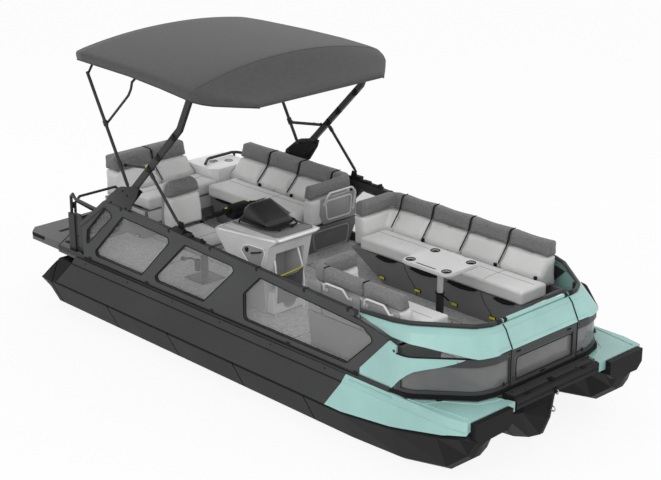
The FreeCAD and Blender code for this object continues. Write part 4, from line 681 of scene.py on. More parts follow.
rows = [canopyRow(*station) for station in canopyForm["stations"]]
rows += [[frontPoint(*point, drop) for point in rows[-1]] for drop in canopyForm["frontDrops"]]
shape = bmesh.new()
made = bmesh.ops.create_grid(shape, x_segments=len(rows[0]) - 1, y_segments=len(rows) - 1, size=1)["verts"]
for vert, there in zip(made, (point for row in rows for point in row)):
    vert.co = there
bmesh.ops.subdivide_edges(shape, edges=shape.edges[:], cuts=1, use_grid_fill=True)
bmesh.ops.smooth_vert(shape, verts=[vert for vert in shape.verts if not vert.is_boundary], factor=0.5,
    use_axis_x=True, use_axis_y=True, use_axis_z=True)
canopyArea = sum(face.calc_area() for face in shape.faces)
canopy = newPiece(shape, "canopy_cloth", "canopy", "rear_bow", sharp=None)
thick = canopy.modifiers.new("cloth", "SOLIDIFY")
thick.thickness = canopyForm["cloth"]
thick.offset = -1
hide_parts("canopy")
crease = seamOver("canopyCrease", "canopy_cloth", [(canopyForm["creaseX"], -1.12 + step * 0.04, 3.2)
    for step in range(57)], "rear_bow", key="canopy", radius=0.0035)
hemLine = [(x, half - 0.012, edge - flap) for x, half, edge, flap, crown in canopyForm["stations"]]
hemLine[-1] = (hemLine[-1][0] + 0.003, *hemLine[-1][1:])
hem = build("canopyHem", "tube", [(tube, [(x, side * y, z) for x, y, z in hemLine], canopyForm["hem"], 6)
                                  for side in sides], "rear_bow")  # bound edge of the side flaps


def foldsUp(piece):
    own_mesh(piece)


for piece in (canopy, crease, hem):
    foldsUp(piece)
stage("canopy, %.2f square metres" % canopyArea)


# Fences and their rails
fenceForm = {  # metres; the port side, mirrored to starboard
    "railAft": -1.45, "railFore": 1.856, "railTop": 1.38, "fall": 0.036, "faces": (1.18, 1.15),
    "ribs": [(1.1405, 1.153), (1.157, 1.1715), (1.1755, 1.1875)], "ribHigh": 0.0016, "sealRadius": 0.0045,
    "openings": [  # each pane's corner radius and corners
        (0.038, [(-1.88, 0.758), (-1.085, 0.758), (-0.585, 1.257), (-1.355, 1.285)]),
        (0.038, [(-0.925, 0.758), (-0.15, 0.758), (0.35, 1.223), (-0.4, 1.25)]),
        (0.038, [(0.425, 0.752), (1.755, 0.752), (2.085, 1.062), (1.95, 1.146), (0.655, 1.22), (0.425, 1.003)]),
        (0.02, [(-1.975, 0.835), (-1.535, 1.23), (-1.535, 1.275), (-1.64, 1.308), (-1.951, 1.0)])],
    "clips": [-1.36, -0.62, -0.02, 0.62, 1.24, 1.78], "footClips": [-1.93, -1.0, -0.03, 1.02, 1.87],
}


def railTopAt(x):
    return fenceForm["railTop"] - (x - fenceForm["railAft"]) * fenceForm["fall"]


def rib(shape, near, far):
    high = fenceForm["ribHigh"]
    for vert in prism(shape, [(near, 0.0), (far, 0.0), (far, high), (near, high)], 0, fenceForm["railAft"],
            fenceForm["railFore"]):
        vert.co.z += railTopAt(vert.co.x)


build("railCaps", "tube", [(rib, near, far) for near, far in fenceForm["ribs"]], both=True)
rake = bent([(-2.054, 1.167, 1.012), (-2.048, 1.167, 1.046), (-1.64, 1.167, 1.378), (-1.44, 1.167, 1.3775)], 0.1, 4)
clips = [(block, (x - 0.014, 1.134, railTopAt(x) - 0.03), (x + 0.014, 1.194, railTopAt(x) + 0.0045), 0.003, 1)
         for x in fenceForm["clips"]]
for x in fenceForm["footClips"]:
    clips += [(block, (x - 0.022, 1.1785, 0.683), (x + 0.022, 1.1885, 0.716), 0.003, 1),
              (disc, (x, 1.1895, 0.702), 0.006, 0.004, toPort, 12)]
build("railClips", "black", [(tube, rake, 0.014)] + clips, both=True)
build("paneSeals", "rubber", [(tube, loopBent([(x, face, z) for x, z in corners], turn), fenceForm["sealRadius"], 6,
    {"closed": True}) for turn, corners in fenceForm["openings"] for face in fenceForm["faces"]], both=True)
build("fenceFootStrips", "rubber", [(sweep, [(-2.02, 1.1845, 0.6805), (1.905, 1.1845, 0.6805)], bar(0.009, 0.014))],
      both=True)
stage("fence rails, seals and clips")


# Bow panels, door and bow deck
bowForm = {  # heights of the rail and the shelves, radius of the sleeves, the door's front, opening and lamps
    "railZ": 1.248, "shelfZ": 0.6535, "sleeve": 0.0235, "front": 2.948, "openingRound": 0.035,
    "opening": [(-0.372, 0.742), (0.372, 0.742), (0.372, 0.94), (-0.372, 0.94)], "lamps": [0.29, 0.318, 0.346],
    "seam": [1.034, 1.1, 1.14, 1.17, 1.186, 1.2, 1.224], "pressed": (1.192, 1.062),
}
railZ, front, shelfZ = bowForm["railZ"], bowForm["front"], bowForm["shelfZ"]
for name, body, x, near, far in (("bowRailSleeves", "hull", 2.824, 0.458, 0.492),
        ("gateRailSleeves", "bow_gate", 2.822, 0.38, 0.418)):
    build(name, "black", [(tube, [(x, side * near, railZ), (x, side * far, railZ)], bowForm["sleeve"], 14)
        for side in sides], body)
build("courtesyLamps", "shellWhite", [(disc, (2.826, y, 1.2668), 0.0075, 0.004, (0.3, 0, 1), 14, {"top": 0.005})
    for y in bowForm["lamps"]], "bow_gate")
latch = bent([(2.8, 0.03, 1.236), (2.776, 0.05, 1.232), (2.77, 0.2, 1.232), (2.802, 0.24, 1.24)], 0.02, 3)
build("gateLatch", "shellLight", [(tube, latch, 0.01, {"flat": 0.7}),
    (block, (2.785, 0.095, 1.205), (2.808, 0.175, 1.246), 0.006)], "bow_gate")


def gateLoop(x):
    return loopBent([(x, y, z) for y, z in bowForm["opening"]], bowForm["openingRound"])


build("gateSeals", "rubber", [(tube, gateLoop(x), 0.005, 6, {"closed": True}) for x in (2.9495, 2.915)] +
    [(block, (2.9475, y - 0.004, 0.984), (2.954, y + 0.048, 0.998), 0.002, 1) for y in (-0.366, 0.3)] +
    [(screw, (front, y, z), ahead, 0.006) for y, z in ((-0.405, 0.745), (-0.405, 0.765), (0.405, 0.745),
    (0.405, 0.765), (0.0, 0.712), (-0.036, 0.712))] +
    [(block, (2.947, -0.05, 0.706), (2.953, 0.014, 0.722), 0.002, 1)], "bow_gate")
build("gatePaneFrame", "tube", [(sweep, gateLoop(2.9488), bar(0.01, 0.0022), ahead, {"closed": True})], "bow_gate")
postParts = []
for side in sides:
    postParts += [(screw, (front, side * 0.462, z), ahead, 0.006) for z in (0.705, 0.745, 0.96, 0.995)]
    postParts += [(sweep, [(2.9487, side * 0.439, 0.684), (2.9487, side * 0.439, 1.024)], bar(0.006, 0.0025), ahead),
        (block, (2.9475, side * 0.52 - 0.012, 0.725), (2.951, side * 0.52 + 0.012, 0.76), 0.002, 1)]
build("bowPostScrews", "rubber", postParts)


def onFront(node, places, stand):
    # places on the outside of a bow panel: where each is looked for, where it is drawn, and its height
    line = [(castOn(node, (3.4, y, z), (-1, 0, 0)), at, z) for y, at, z in places]
    return [(x + stand, y, z) for x, y, z in line if x]


build("bandSeams", "rubber", [(sweep, onFront("bow_bands",
    [(side * 0.446, side * 0.4345, z) for z in bowForm["seam"]], 0.001), bar(0.009, 0.006), ahead) for side in sides])
for node, name, body, ys in (("bow_bands", "bandPressings", "hull", [0.6, 0.58, 0.55, 0.52, 0.49, 0.46, 0.445]),
        ("bow_gate_band", "gatePressings", "bow_gate", [0.42, 0.3, 0.15, 0.0, -0.15, -0.3, -0.42])):
    lines = [onFront(node, [(side * y, side * y, z) for y in ys], 0.0005)
             for side in (sides if body == "hull" else (1,)) for z in bowForm["pressed"]]
    build(name, "teal", [(tube, line, 0.0028, 6) for line in lines if len(line) > 2], body)
frameLine = bent([(2.345, 1.178, 1.0285), (2.46, 1.169, 1.0285), (2.902, 0.784, 1.0285), (2.95, 0.6, 1.0285),
    (2.95, 0.44, 1.0285)], 0.24, 7)
build("frameTopTrim", "rubber", [(sweep, frameLine, bar(0.02, 0.006))], both=True)
build("frameFootTrim", "rubber", [(sweep, [(x, y, 0.682) for x, y, z in frameLine], bar(0.014, 0.02))], both=True)
armParts = []
for x, y, z, way in ((2.312, 1.1765, 1.04, toPort), (2.77, 0.901, 1.003, (0.66, 0.75, 0))):
    armParts += [(disc, (x, y, z), 0.013, 0.004, way, 20, 0.001),
        (screw, Vector((x, y, z)) + Vector(way).normalized() * 0.002, way, 0.008)]
build("armScrews", "tube", armParts, both=True)

contour = [(2.62, 1.15), (2.7, 0.985), (2.83, 0.905), (2.93, 0.83), (2.985, 0.69), (3.0, 0.61)]
ridge = [(1.8, 1.172), (2.35, 1.176), (2.76, 1.13), (3.08, 1.085)]
build("shelfMouldings", "teal", [
    (block, (1.8, 1.1905, 0.61), (2.31, 1.2005, 0.622), 0.004),
    (tube, bent([(x, y, shelfZ) for x, y in contour], 0.06, 4), 0.0045, 8, 0.5),
    (tube, bent([(x, y, shelfZ) for x, y in ridge], 0.3, 4), 0.006, 8, 0.6)], both=True)
build("shelfFittings", "black", [(disc, (2.663, 0.994, 0.656), 0.03, 0.006, upward, 28, 0.002),
    (disc, (2.663, 0.994, 0.664), 0.019, 0.014, upward, 24, 0.004, 0.015)] +
    [(screw, (x, y, 0.653), upward, 0.01, 0.004) for x, y in ((2.965, 0.592), (3.03, 0.586), (2.3, 1.15))], both=True)
build("sideLight", "tube", [
    (block, (2.715, 0.905, 0.653), (2.765, 0.945, 0.676), 0.008),
    (disc, (2.655, 1.07, 0.668), 0.018, 0.03, upward, 20, 0.006),
    (disc, (2.655, 1.07, 0.656), 0.027, 0.006, upward, 20, 0.002)])
build("bowTread", "hullGrey", [(prism, [(2.962, -0.52), (3.062, -0.512), (3.062, 0.512), (2.962, 0.52)], 2, 0.668,
    0.6715, 0.0015, 1)])
build("bowDeckFittings", "rubber", [(screw, (x, y, 0.6712), upward, 0.009, 0.004)
    for x, y in ((3.045, -0.351), (3.054, 0.308), (3.0, -0.47), (3.0, 0.47))] +
    [(block, (3.03, -0.06, 0.6715), (3.09, -0.002, 0.68), 0.003),
    (block, (3.074, -0.412, 0.6675), (3.11, -0.352, 0.6705), 0.002, 1),
    (block, (3.074, 0.33, 0.6675), (3.11, 0.39, 0.6705), 0.002, 1),
    (disc, (3.118, -0.037, 0.59), 0.03, 0.022, ahead, 24, 0.005)])
build("bowEyes", "bright", [(ring, (3.132, -0.037, 0.578), 0.02, 0.005, (0.3, 1, 0), 24),
    (ring, (3.066, 0.0, 0.388), 0.026, 0.006, (0, 1, 0.2), 24)])
stage("bow panels, shelves and bow deck")


# Bench bases, seams, handles and tags
baseForm = {  # the port base leans outwards as it rises; tags, black crescents painted as the shade in each finger gap under the seat lids, and splits along it
    "toe": 0.495, "foot": 0.68, "lean": 0.297, "tags": (0.56, 1.03, 1.5, 1.965), "tagZ": 0.752,
    "bowGapShades": ((0.7, 0.13), (1.19, 0.175), (1.66, 0.175), (2.17, 0.12)), "midGapShades": (-1.62, -1.05),
    "bowArch": [(-1, 1.004), (-0.6, 0.99), (0, 0.981), (0.6, 0.99), (1, 1.004)],
    "midArch": [(-1, 1.003), (-0.5, 0.99), (0.5, 0.99), (1, 1.003)],
    "bowSplit": [(0, 0.995), (0, 0.96), (0.03, 0.873), (0.08, 0.79), (0.092, 0.745), (0.092, 0.69)],
    "midSplit": [(0, 0.99), (0.02, 0.86), (0.06, 0.7)], "handle": 0.0105,
}


def toeY(z):
    return baseForm["toe"] - (z - baseForm["foot"]) * baseForm["lean"]


splits = [(x, "bowSplit", 0.0005, 0.05) for x in (0.915, 1.876)] + [(x, "midSplit", 0, 0.1) for x in (-1.58, -1.08)]
build("baseSplits", "rubber", [(tube, bent([(x + out, toeY(z) - sunk, z) for out, z in baseForm[key]], turn, 3),
    0.0032, 6) for x, key, sunk, turn in splits])
# black rubber crescents painted as the shade that falls in each finger gap under the seat lids
gapShades = [(middle, half, "bowArch", 0.357) for middle, half in baseForm["bowGapShades"]]
gapShades += [(middle, 0.2, "midArch", 0.36) for middle in baseForm["midGapShades"]]
build("fingerGapShade", "rubber", [(prism, [(middle + half * share, z) for share, z in baseForm[key]], 1, near, 0.402)
    for middle, half, key, near in gapShades])
tagY = toeY(baseForm["tagZ"])
build("tabHolders", "rubber", [(block, (x - 0.042, tagY - 0.007, 0.732), (x + 0.042, tagY + 0.006, 0.774), 0.005)
    for x in baseForm["tags"]] + [(block, (-1.475, 0.455, 0.74), (-1.425, 0.475, 0.766), 0.004),
    (block, (-2.165, -0.42, 0.684), (-2.105, -0.406, 0.716), 0.005)])
build("pullTabs", "yellow", [(block, (x - 0.033, tagY - 0.012, 0.738), (x + 0.033, tagY - 0.002, 0.764), 0.003)
    for x in baseForm["tags"]] + [(block, (-1.47, 0.45, 0.746), (-1.43, 0.462, 0.76), 0.002),
    (block, (-2.156, -0.426, 0.69), (-2.114, -0.414, 0.708), 0.003)])

outline = [(0.59, 1.02), (1.035, 1.02), (1.05, 1.1), (1.05, 1.29), (0.56, 1.29), (0.545, 1.13)]
build("returnShell", "shellGrey", [(prism, outline, 0, -0.4, -0.386, 0.006)])
for name, key, x, turn, wide, high, corners in (("returnFrame", "shellLight", -0.3855, 0.035, 0.016, 0.007,
        [(0.64, 1.06), (0.96, 1.06), (0.985, 1.262), (0.615, 1.262)]),
        ("baseEndFrame", "shellGrey", -0.3985, 0.045, 0.014, 0.006,
        [(0.48, 0.76), (0.93, 0.76), (0.96, 0.955), (0.45, 0.955)])):
    build(name, key, [(sweep, loopBent([(x, y, z) for y, z in corners], turn), bar(wide, high, 0.35), ahead,
        {"closed": True})])
handle = bent([(-0.386, 0.6, 1.235), (-0.352, 0.6, 1.3), (-0.348, 0.63, 1.352), (-0.348, 0.95, 1.352),
    (-0.35, 1.0, 1.29), (-0.386, 1.0, 1.11)], 0.045, 5)
build("returnHandle", "shellLight", [(tube, handle, 0.0115, 12)] + [
    (disc, (-0.384, y, z), 0.019, 0.006, ahead, 20, 0.002) for y, z in ((0.6, 1.235), (1.0, 1.11))])
build("backShells", "shellGrey", [(prism, [(a, 1.02), (b, 1.02), (b, 1.285), (b - 0.02, 1.3), (a + 0.02, 1.3),
    (a, 1.285)], 1, -1.024, -1.008, 0.006) for a, b in ((1.112, 1.28), (1.296, 1.758), (1.776, 2.218))])
handles = []
for x in (1.35, 1.842):
    route = [(0, -1.02, 1.262), (0, -1.052, 1.268), (0.012, -1.056, 1.338), (0.235, -1.056, 1.338),
             (0.3, -1.052, 1.268), (0.3, -1.02, 1.262)]
    handles.append((tube, bent([(x + out, y, z) for out, y, z in route], 0.035, 5), baseForm["handle"], 12))
    handles += [(disc, (x + end, -1.026, 1.262), 0.018, 0.008, toPort, 20, 0.002) for end in (0, 0.3)]
build("benchHandles", "shellLight", handles)

above = 1.25  # height from which the seams are dropped
seams = [("mid_seat", (-1.905, 0.602), (-0.56, 0.602)), ("bow_port_seat_aft", (0.35, 0.602), (1.392, 0.602)),
    ("bow_port_seat_fore", (1.43, 0.602), (2.362, 0.602)), ("bow_starboard_seat", (1.265, -0.62), (2.25, -0.62)),
    ("stern_seat", (-2.16, -0.38), (-2.16, 0.525)), ("bow_port_seat_fore", (1.905, 0.372), (1.905, 0.725)),
    ("mid_seat", (-1.12, 0.372), (-1.12, 0.725))]
for count, (node, first, last) in enumerate(seams):
    seamOver("seatSeam%d" % count, node + "_pad", steps((*first, above), (*last, above), 24), lids[node])
for node, x0, x1 in (("bow_port_seat_aft", 0.35, 1.392), ("bow_port_seat_fore", 1.43, 2.362),
        ("mid_seat", -1.9, -0.56)):
    seamOver(node + "_welt", node + "_pad", steps((x0, 0.2, 1.116), (x1, 0.2, 1.116), 24), lids[node], toPort,
             "vinylLight", 0.003)
build("creaseCovers", "rubber", [(block, (x - 0.016, 0.739, 1.12), (x + 0.016, 0.757, 1.153), 0.004)
    for x in (-1.533, -1.041, 0.825, 1.739, 2.216)])
joints = [[(-2.3, 0.305), (2.9, 0.305)], [(-2.3, -0.305), (2.9, -0.305)], [(-0.32, -1.12), (-0.32, 0.38)],
          [(0.93, -1.12), (0.93, 0.42)], [(-1.3, -1.12), (-1.3, 0.38)], [(2.35, -0.9), (2.35, 0.9)]]
build("deckJoints", "rubber", [(sweep, [(x, y, 0.6804) for x, y in route], bar(0.005, 0.0015)) for route in joints])
stage("bench details")


# Helm: rim, dash, hood, side scoop, net, speaker and handlebar
helmForm = {  # the console's rim rises towards the bow; section of its roll; the scoop's outline; the bar's lean
    "rim": [(-0.3, -0.887), (0.562, -0.887), (0.562, -0.353), (-0.3, -0.353)], "rimZ": 1.378, "rise": 0.093,
    "roll": [(-0.009, -0.012), (0.006, -0.01), (0.009, 0.0), (0.006, 0.01), (-0.009, 0.012)],
    "dash": [(-0.268, -0.822), (-0.11, -0.85), (0.5, -0.85), (0.528, -0.822), (0.528, -0.418), (0.5, -0.39),
             (-0.11, -0.39), (-0.268, -0.418)],
    "cowl": [(1.478, 1.478, -0.07, 0.326, -0.784, -0.456), (1.61, 1.53, -0.02, 0.33, -0.79, -0.45),
             (1.676, 1.562, 0.034, 0.285, -0.756, -0.484)],
    "scoop": [(0.085, 1.262), (0.15, 1.21), (0.245, 1.13), (0.33, 1.105), (0.372, 1.19), (0.405, 1.29),
              (0.4, 1.345), (0.19, 1.338), (0.11, 1.312)],
    "speaker": (0.43, -0.62, 0.795), "barFoot": (-0.208, -0.62, 1.431), "barLean": 29, "barUp": 0.108,
}
build("consoleRim", "shellWhite", [(sweep, loopBent([(x, y, helmForm["rimZ"] + (x + 0.3) * helmForm["rise"])
    for x, y in helmForm["rim"]], 0.06, 6), helmForm["roll"], {"closed": True})])


def dashPlate(shape, outline):
    made = prism(shape, outline, 2, 0.0, 0.012)
    for vert in made:
        x = vert.co.x
        vert.co.z += 1.39 + max(0.0, min(1.0, (x + 0.268) / 0.15)) * 0.075 + max(0.0, x + 0.11) * 0.012
    roundEdges(shape, made, 0.004)


build("dashPanel", "dashGrey", [(dashPlate, helmForm["dash"])])
hoodRail = [(-0.06, -0.8, 1.474), (-0.03, -0.806, 1.512), (0.3, -0.812, 1.5), (0.392, -0.76, 1.496)]
hoodRail = bent(hoodRail + [(x, -1.24 - y, z) for x, y, z in hoodRail[::-1]], 0.045, 5)
build("hoodRail", "black", [(tube, hoodRail, 0.0095)] + [
    (block, (0.376, y - 0.012, 1.472), (0.398, y + 0.012, 1.496), 0.004) for y in (-0.7, -0.54)])
cowl = [[(aft, near, aftZ), (fore, near, foreZ), (fore, far, foreZ), (aft, far, aftZ)]
        for aftZ, foreZ, aft, fore, near, far in helmForm["cowl"]]
build("hoodCowl", "hoodBlack", [(bridged, cowl, 0.04, 4)])
build("instrumentScreen", "screen", [(prism, [(-0.735, 1.5), (-0.505, 1.5), (-0.515, 1.59), (-0.725, 1.59)], 0,
    -0.072, -0.04, 0.006)])


def sideY(x, z):
    # where the console's starboard side stands
    return castOn("helm_console", (x, -1.3, z), toPort, -0.88)


def scoopPlate(shape, outline):
    for vert in prism(shape, outline, 1, -0.01, 0.01):
        vert.co.y = sideY(vert.co.x, vert.co.z) + (-0.005 if vert.co.y < 0 else 0.012)


build("sideScoop", "shellGrey", [(scoopPlate, helmForm["scoop"])])
build("scoopRim", "shellWhite", [(tube, loopBent([(x, sideY(x, z) - 0.005, z) for x, z in helmForm["scoop"]], 0.03),
    0.0045, 6, {"closed": True})])
pull = [(0.232, 1.272, 0.006), (0.242, 1.276, 0.022), (0.35, 1.308, 0.022), (0.362, 1.312, 0.006)]
build("sidePort", "black", [(disc, (0.165, sideY(0.165, 1.288) - 0.008, 1.288), 0.024, 0.01, (0, -1, 0), 24, 0.003),
    (tube, bent([(x, sideY(x, z) - out, z) for x, z, out in pull], 0.012, 3), 0.008)])
struts = [[(0.4, -0.5, 1.31), (0.452, -0.49, 1.15), (0.48, -0.482, 0.98), (0.47, -0.48, 0.684)],
          [(0.4, -0.79, 1.31), (0.445, -0.8, 1.15), (0.455, -0.805, 0.98), (0.44, -0.8, 0.684)]]
build("consoleStruts", "shellWhite", [(tube, bent(route, 0.4, 6), 0.013, 10, 0.7) for route in struts])


def netCloth(shape, columns, rows):
    for vert in bmesh.ops.create_grid(shape, x_segments=columns, y_segments=rows, size=0.5)["verts"]:
        across, up = vert.co.x + 0.5, vert.co.y + 0.5
        sag = 0.018 * math.sin(math.pi * across) * up
        vert.co = (0.446 + 0.02 * across + 0.02 * up + 2 * sag, -0.786 + 0.29 * across,
                   0.8 + up * (0.275 + 0.035 * across) - sag)


net = build("stowageNet", "net", [(netCloth, 14, 8)])
net.modifiers.new("thick", "SOLIDIFY").thickness = 0.003
build("netHem", "yellow", [(tube, steps((0.47, -0.786, 1.072), (0.49, -0.496, 1.106), 6), 0.006, 8)])
build("footPanel", "shellWhite", [(prism, [(-0.815, 0.69), (-0.425, 0.69), (-0.415, 0.9), (-0.825, 0.9)], 0, 0.33,
    0.428, 0.008)])
build("speakerRim", "shellGrey", [(ring, helmForm["speaker"], 0.074, 0.007, ahead, 36)])
build("speakerGrille", "grille", [(disc, helmForm["speaker"], 0.07, 0.008, ahead, 36, 0.0, 0.06)])

lean = math.radians(helmForm["barLean"])
barMid = Vector(helmForm["barFoot"]) + Vector((-math.sin(lean), 0, math.cos(lean))) * helmForm["barUp"]


def onBar(*offset):
    return barMid + Vector(offset)


podParts = [(block, onBar(-0.055, -0.11, -0.03), onBar(0.06, 0.11, 0.04), 0.022, 3),
            (block, onBar(-0.06, -0.135, -0.085), onBar(0.07, 0.135, -0.012), 0.026, 3)]
for side in sides:
    lever = [onBar(0.03, side * 0.19, 0.004), onBar(0.062, side * 0.205, 0.002), onBar(0.052, side * 0.32, -0.004)]
    podParts += [(block, onBar(-0.028, side * 0.165 - 0.03, -0.024), onBar(0.03, side * 0.165 + 0.03, 0.026), 0.01),
        (tube, bent(lever, 0.02, 3), 0.0065, 8, 0.6)]
    podParts += [(ring, onBar(0, side * (0.222 + step * 0.016), 0), 0.0175, 0.0028, toPort, 16, 6) for step in range(7)]
build("handlebarPod", "rubber", podParts, "helm")
build("podSwitches", "yellow", [(block, onBar(-0.008, y - 0.014, 0.026), onBar(0.008, y + 0.014, 0.031), 0.002, 1)
    for y in (-0.165, 0.165)], "helm")
stage("helm details")


# Table, corner console, stern base and chair
cups = {"table": [(1.555, -0.19), (1.555, 0.13), (1.985, -0.19), (1.985, 0.13)],
        "corner": [(-2.3, 0.76), (-2.21, 0.9)], "start": 1.6}


def dropTo(node, x, y, top):
    return castOn(node, (x, y, top), (0, 0, -1), top)


for spot, node, radius, key, body in (("table", "table_top", 0.04, "rubber", "table"),
        ("corner", "corner_console", 0.042, "shellGrey", "hull")):
    rims = [(ring, (x, y, dropTo(node, x + radius * 1.5, y, cups["start"]) + 0.001), radius + 0.002, 0.0045, upward,
             28, 6) for x, y in cups[spot]]
    floors = [(disc, (x, y, dropTo(node, x, y, cups["start"]) + 0.003), radius - 0.002, 0.004, upward, 28, 0.001)
              for x, y in cups[spot]]
    if spot == "table":  # slot in the table's top
        floors.append((block, (1.65, -0.222, 1.3842), (1.88, -0.208, 1.3862), 0.0008, 1))
    build(spot + "CupRims", key, rims, body)
    build(spot + "Cups", "rubber", floors, body)
corners = [(1.49, -0.255), (2.05, -0.255), (2.05, 0.195), (1.49, 0.195)]
build("tableBumper", "shellLight", [(tube, loopBent([(x, y, 1.369) for x, y in corners], 0.05, 5), 0.0055, 8,
    {"closed": True})], "table")
build("tableBracket", "rubber", [(block, (1.69, -0.11, 1.334), (1.85, 0.05, 1.352), 0.004)], "table")
lever = bent([(1.8, -0.04, 1.076), (1.84, -0.052, 1.074), (1.905, -0.062, 1.056)], 0.02, 3)
build("tableClamp", "rubber", [(ring, (1.77, -0.03, 1.086), 0.04, 0.006), (tube, lever, 0.0075, 8)] + [
    (screw, (x, y, dropTo("table_post", x, y, 0.8)), upward, 0.007, 0.004) for x in (1.69, 1.85)
    for y in (-0.11, 0.05)])
build("sternBaseShells", "shellLight", [
    (prism, [(-2.685, 0.862), (-2.03, 0.862), (-2.01, 0.992), (-2.685, 0.992)], 1, -0.416, -0.4, 0.006),
    (prism, [(-0.38, 0.862), (0.52, 0.862), (0.53, 0.992), (-0.39, 0.992)], 0, -1.996, -1.976, 0.006)])

lever = bent([(-0.79, -0.69, 0.85), (-0.9, -0.7, 0.858), (-1.02, -0.7, 0.822)], 0.05, 4)
build("pedestalFittings", "rubber", [
    (screw, (x, y, dropTo("chair_pedestal", x, y, 0.76)), upward, 0.01, 0.005) for x in (-0.865, -0.655)
    for y in (-0.76, -0.55)] + [
    (tube, lever, 0.014, 8, 0.7), (block, (-1.06, -0.716, 0.8), (-1.005, -0.684, 0.836), 0.008),
    (block, (-0.85, -0.712, 0.745), (-0.8, -0.668, 0.87), 0.01)])
outline = [(-0.862, 1.165), (-0.448, 1.165), (-0.444, 1.46), (-0.48, 1.59), (-0.56, 1.618), (-0.75, 1.618),
           (-0.83, 1.59), (-0.866, 1.46)]
build("chairShell", "shellGrey", [(block, (-1.085, -0.868, 1.004), (-0.575, -0.442, 1.05), 0.02, 3),
    (prism, outline, 0, -1.143, -1.11, 0.01)], "chair")
build("chairHinges", "rubber", [(disc, (-1.05, y, 1.12), 0.03, 0.014, toPort, 24, 0.004) for y in (-0.872, -0.438)],
      "chair")
for count, (first, last) in enumerate((((-1.0, -0.8), (-0.6, -0.79)), ((-1.0, -0.51), (-0.6, -0.52)),
        ((-0.69, -0.86), (-0.69, -0.45)))):
    seamOver("chairSeam%d" % count, "chairSeat_pad", steps((*first, above), (*last, above), 12), "chair")
stage("chair, table and corner console")


# Stern posts, gate straps and platform
sternForm = {"post": (-1.128, -1.114), "gateX": -2.34}
outline = [(-2.262, 0.684), (-2.104, 0.684), (-2.104, 1.06), (-2.14, 1.104), (-2.235, 1.104), (-2.262, 1.08)]
build("sternPosts", "darkMetal", [(prism, outline, 1, *sternForm["post"], 0.004)], both=True)
build("sternPostFittings", "rubber", [(screw, (-2.183, sternForm["post"][0], z), (0, -1, 0), 0.008)
    for z in (0.74, 0.86, 1.06)] + [(block, (-2.15, -1.132, 0.68), (-2.04, -1.086, 0.706), 0.006)], both=True)
gateX = sternForm["gateX"]
build("sternGateStraps", "black", [(sweep, [(gateX, -1.03, low), (gateX, -0.5, high)], bar(0.026, 0.008), ahead)
    for low, high in ((1.18, 0.79), (0.79, 1.18))] + [(block, (-2.356, -0.79, 0.955), (-2.326, -0.73, 1.015),
    0.006)], "stern_gate")
build("sternGateHinges", "rubber", [(tube, [(gateX, -1.062, z - 0.03), (gateX, -1.062, z + 0.03)], 0.013, 12)
    for z in (0.8, 1.14)])
platformSeam = [(-2.503, 1.162), (-2.763, 0.802), (-2.853, 0.602), (-2.853, 0.0)]
build("platformFittings", "rubber", [(sweep, [(x, side * y, 0.6785) for x, y in platformSeam], bar(0.01, 0.004))
    for side in sides] + [(block, (-2.895, y, 0.675), (-2.845, y + 0.15, 0.6785), 0.0015, 1)
    for y in (-0.89, 0.74)] + [(block, (-2.56, y, 0.6795), (-2.48, y + 0.045, 0.686), 0.003) for y in (-1.045, 1.0)])
edge = [(-2.86, -1.091), (-3.08, -1.091), (-3.164, -1.002), (-3.164, 1.002), (-3.08, 1.091), (-2.86, 1.091)]
build("platformBumper", "rubber", [(sweep, bent([(x, y, 0.634) for x, y in edge], 0.05, 4), bar(0.01, 0.032, 0.3))])
build("ladderTreads", "rubber", [(block, (x - 0.02, 0.235, 0.5715), (x + 0.02, 0.565, 0.5745), 0.0012, 1)
    for x in (-3.02, -2.88, -2.74)], "ladder")
turns = [math.radians(angle * 45 + 22) for angle in range(8)]
build("pumpBolts", "bright", [(screw, (-2.79, 0.088 * math.cos(turn), 0.2 + 0.088 * math.sin(turn)), (-1, 0, 0),
    0.007, 0.004) for turn in turns])
stage("stern and platform")


# Canopy's fittings
topForm = {  # side planes, and the feet and heads of the bows in x and z
    "cheekY": 1.186, "rearY": 1.108, "strutY": 1.16, "linkY": 1.091,
    "main": ((-1.25, 1.53), (-0.44, 2.35)), "rear": ((-1.32, 1.56), (-1.98, 2.735)),
    "strut": ((-0.5, 1.425), (-0.897, 1.828)), "link": ((-1.39, 1.785), (-0.95, 1.85)),
    # sleeves: piece, finish, body, bow, side plane, and each sleeve's first and last share of the bow and radius
    "sleeves": [
        ("rearBowSleeves", "tube", "rear_bow", "rear", "rearY",
         [(0.03, 0.9, 0.0165), (0.165, 0.215, 0.025), (0.485, 0.525, 0.024)]),
        ("strutSleeves", "tube", "lower_struts", "strut", "strutY", [(0.06, 0.94, 0.015), (0.9, 1.0, 0.02)]),
        ("mainBowClamps", "black", "main_bow", "main", "strutY",
         [(share - 0.022, share + 0.022, 0.036) for share in (0.42, 0.6, 0.9)])],
}
cheekY = topForm["cheekY"]
outline = [(-1.6, 1.388), (-1.588, 1.43), (-1.41, 1.57), (-1.35, 1.598), (-1.14, 1.646), (-1.07, 1.636),
           (-1.098, 1.56), (-1.212, 1.4), (-1.3, 1.35), (-1.54, 1.366)]
foot = [(-1.5, 1.384), (-1.25, 1.384), (-1.235, 1.42), (-1.4, 1.44), (-1.49, 1.42)]
build("mountCheeks", "tube", [(prism, outline, 1, cheekY - 0.012, cheekY, 0.004), (prism, foot, 1, 1.14, 1.18, 0.004)],
      both=True)
build("mountBolts", "rubber", [(screw, (x, cheekY, z), toPort, 0.011, 0.005)
    for x, z in ((-1.25, 1.53), (-1.32, 1.56), (-1.52, 1.4), (-1.28, 1.392))], both=True)
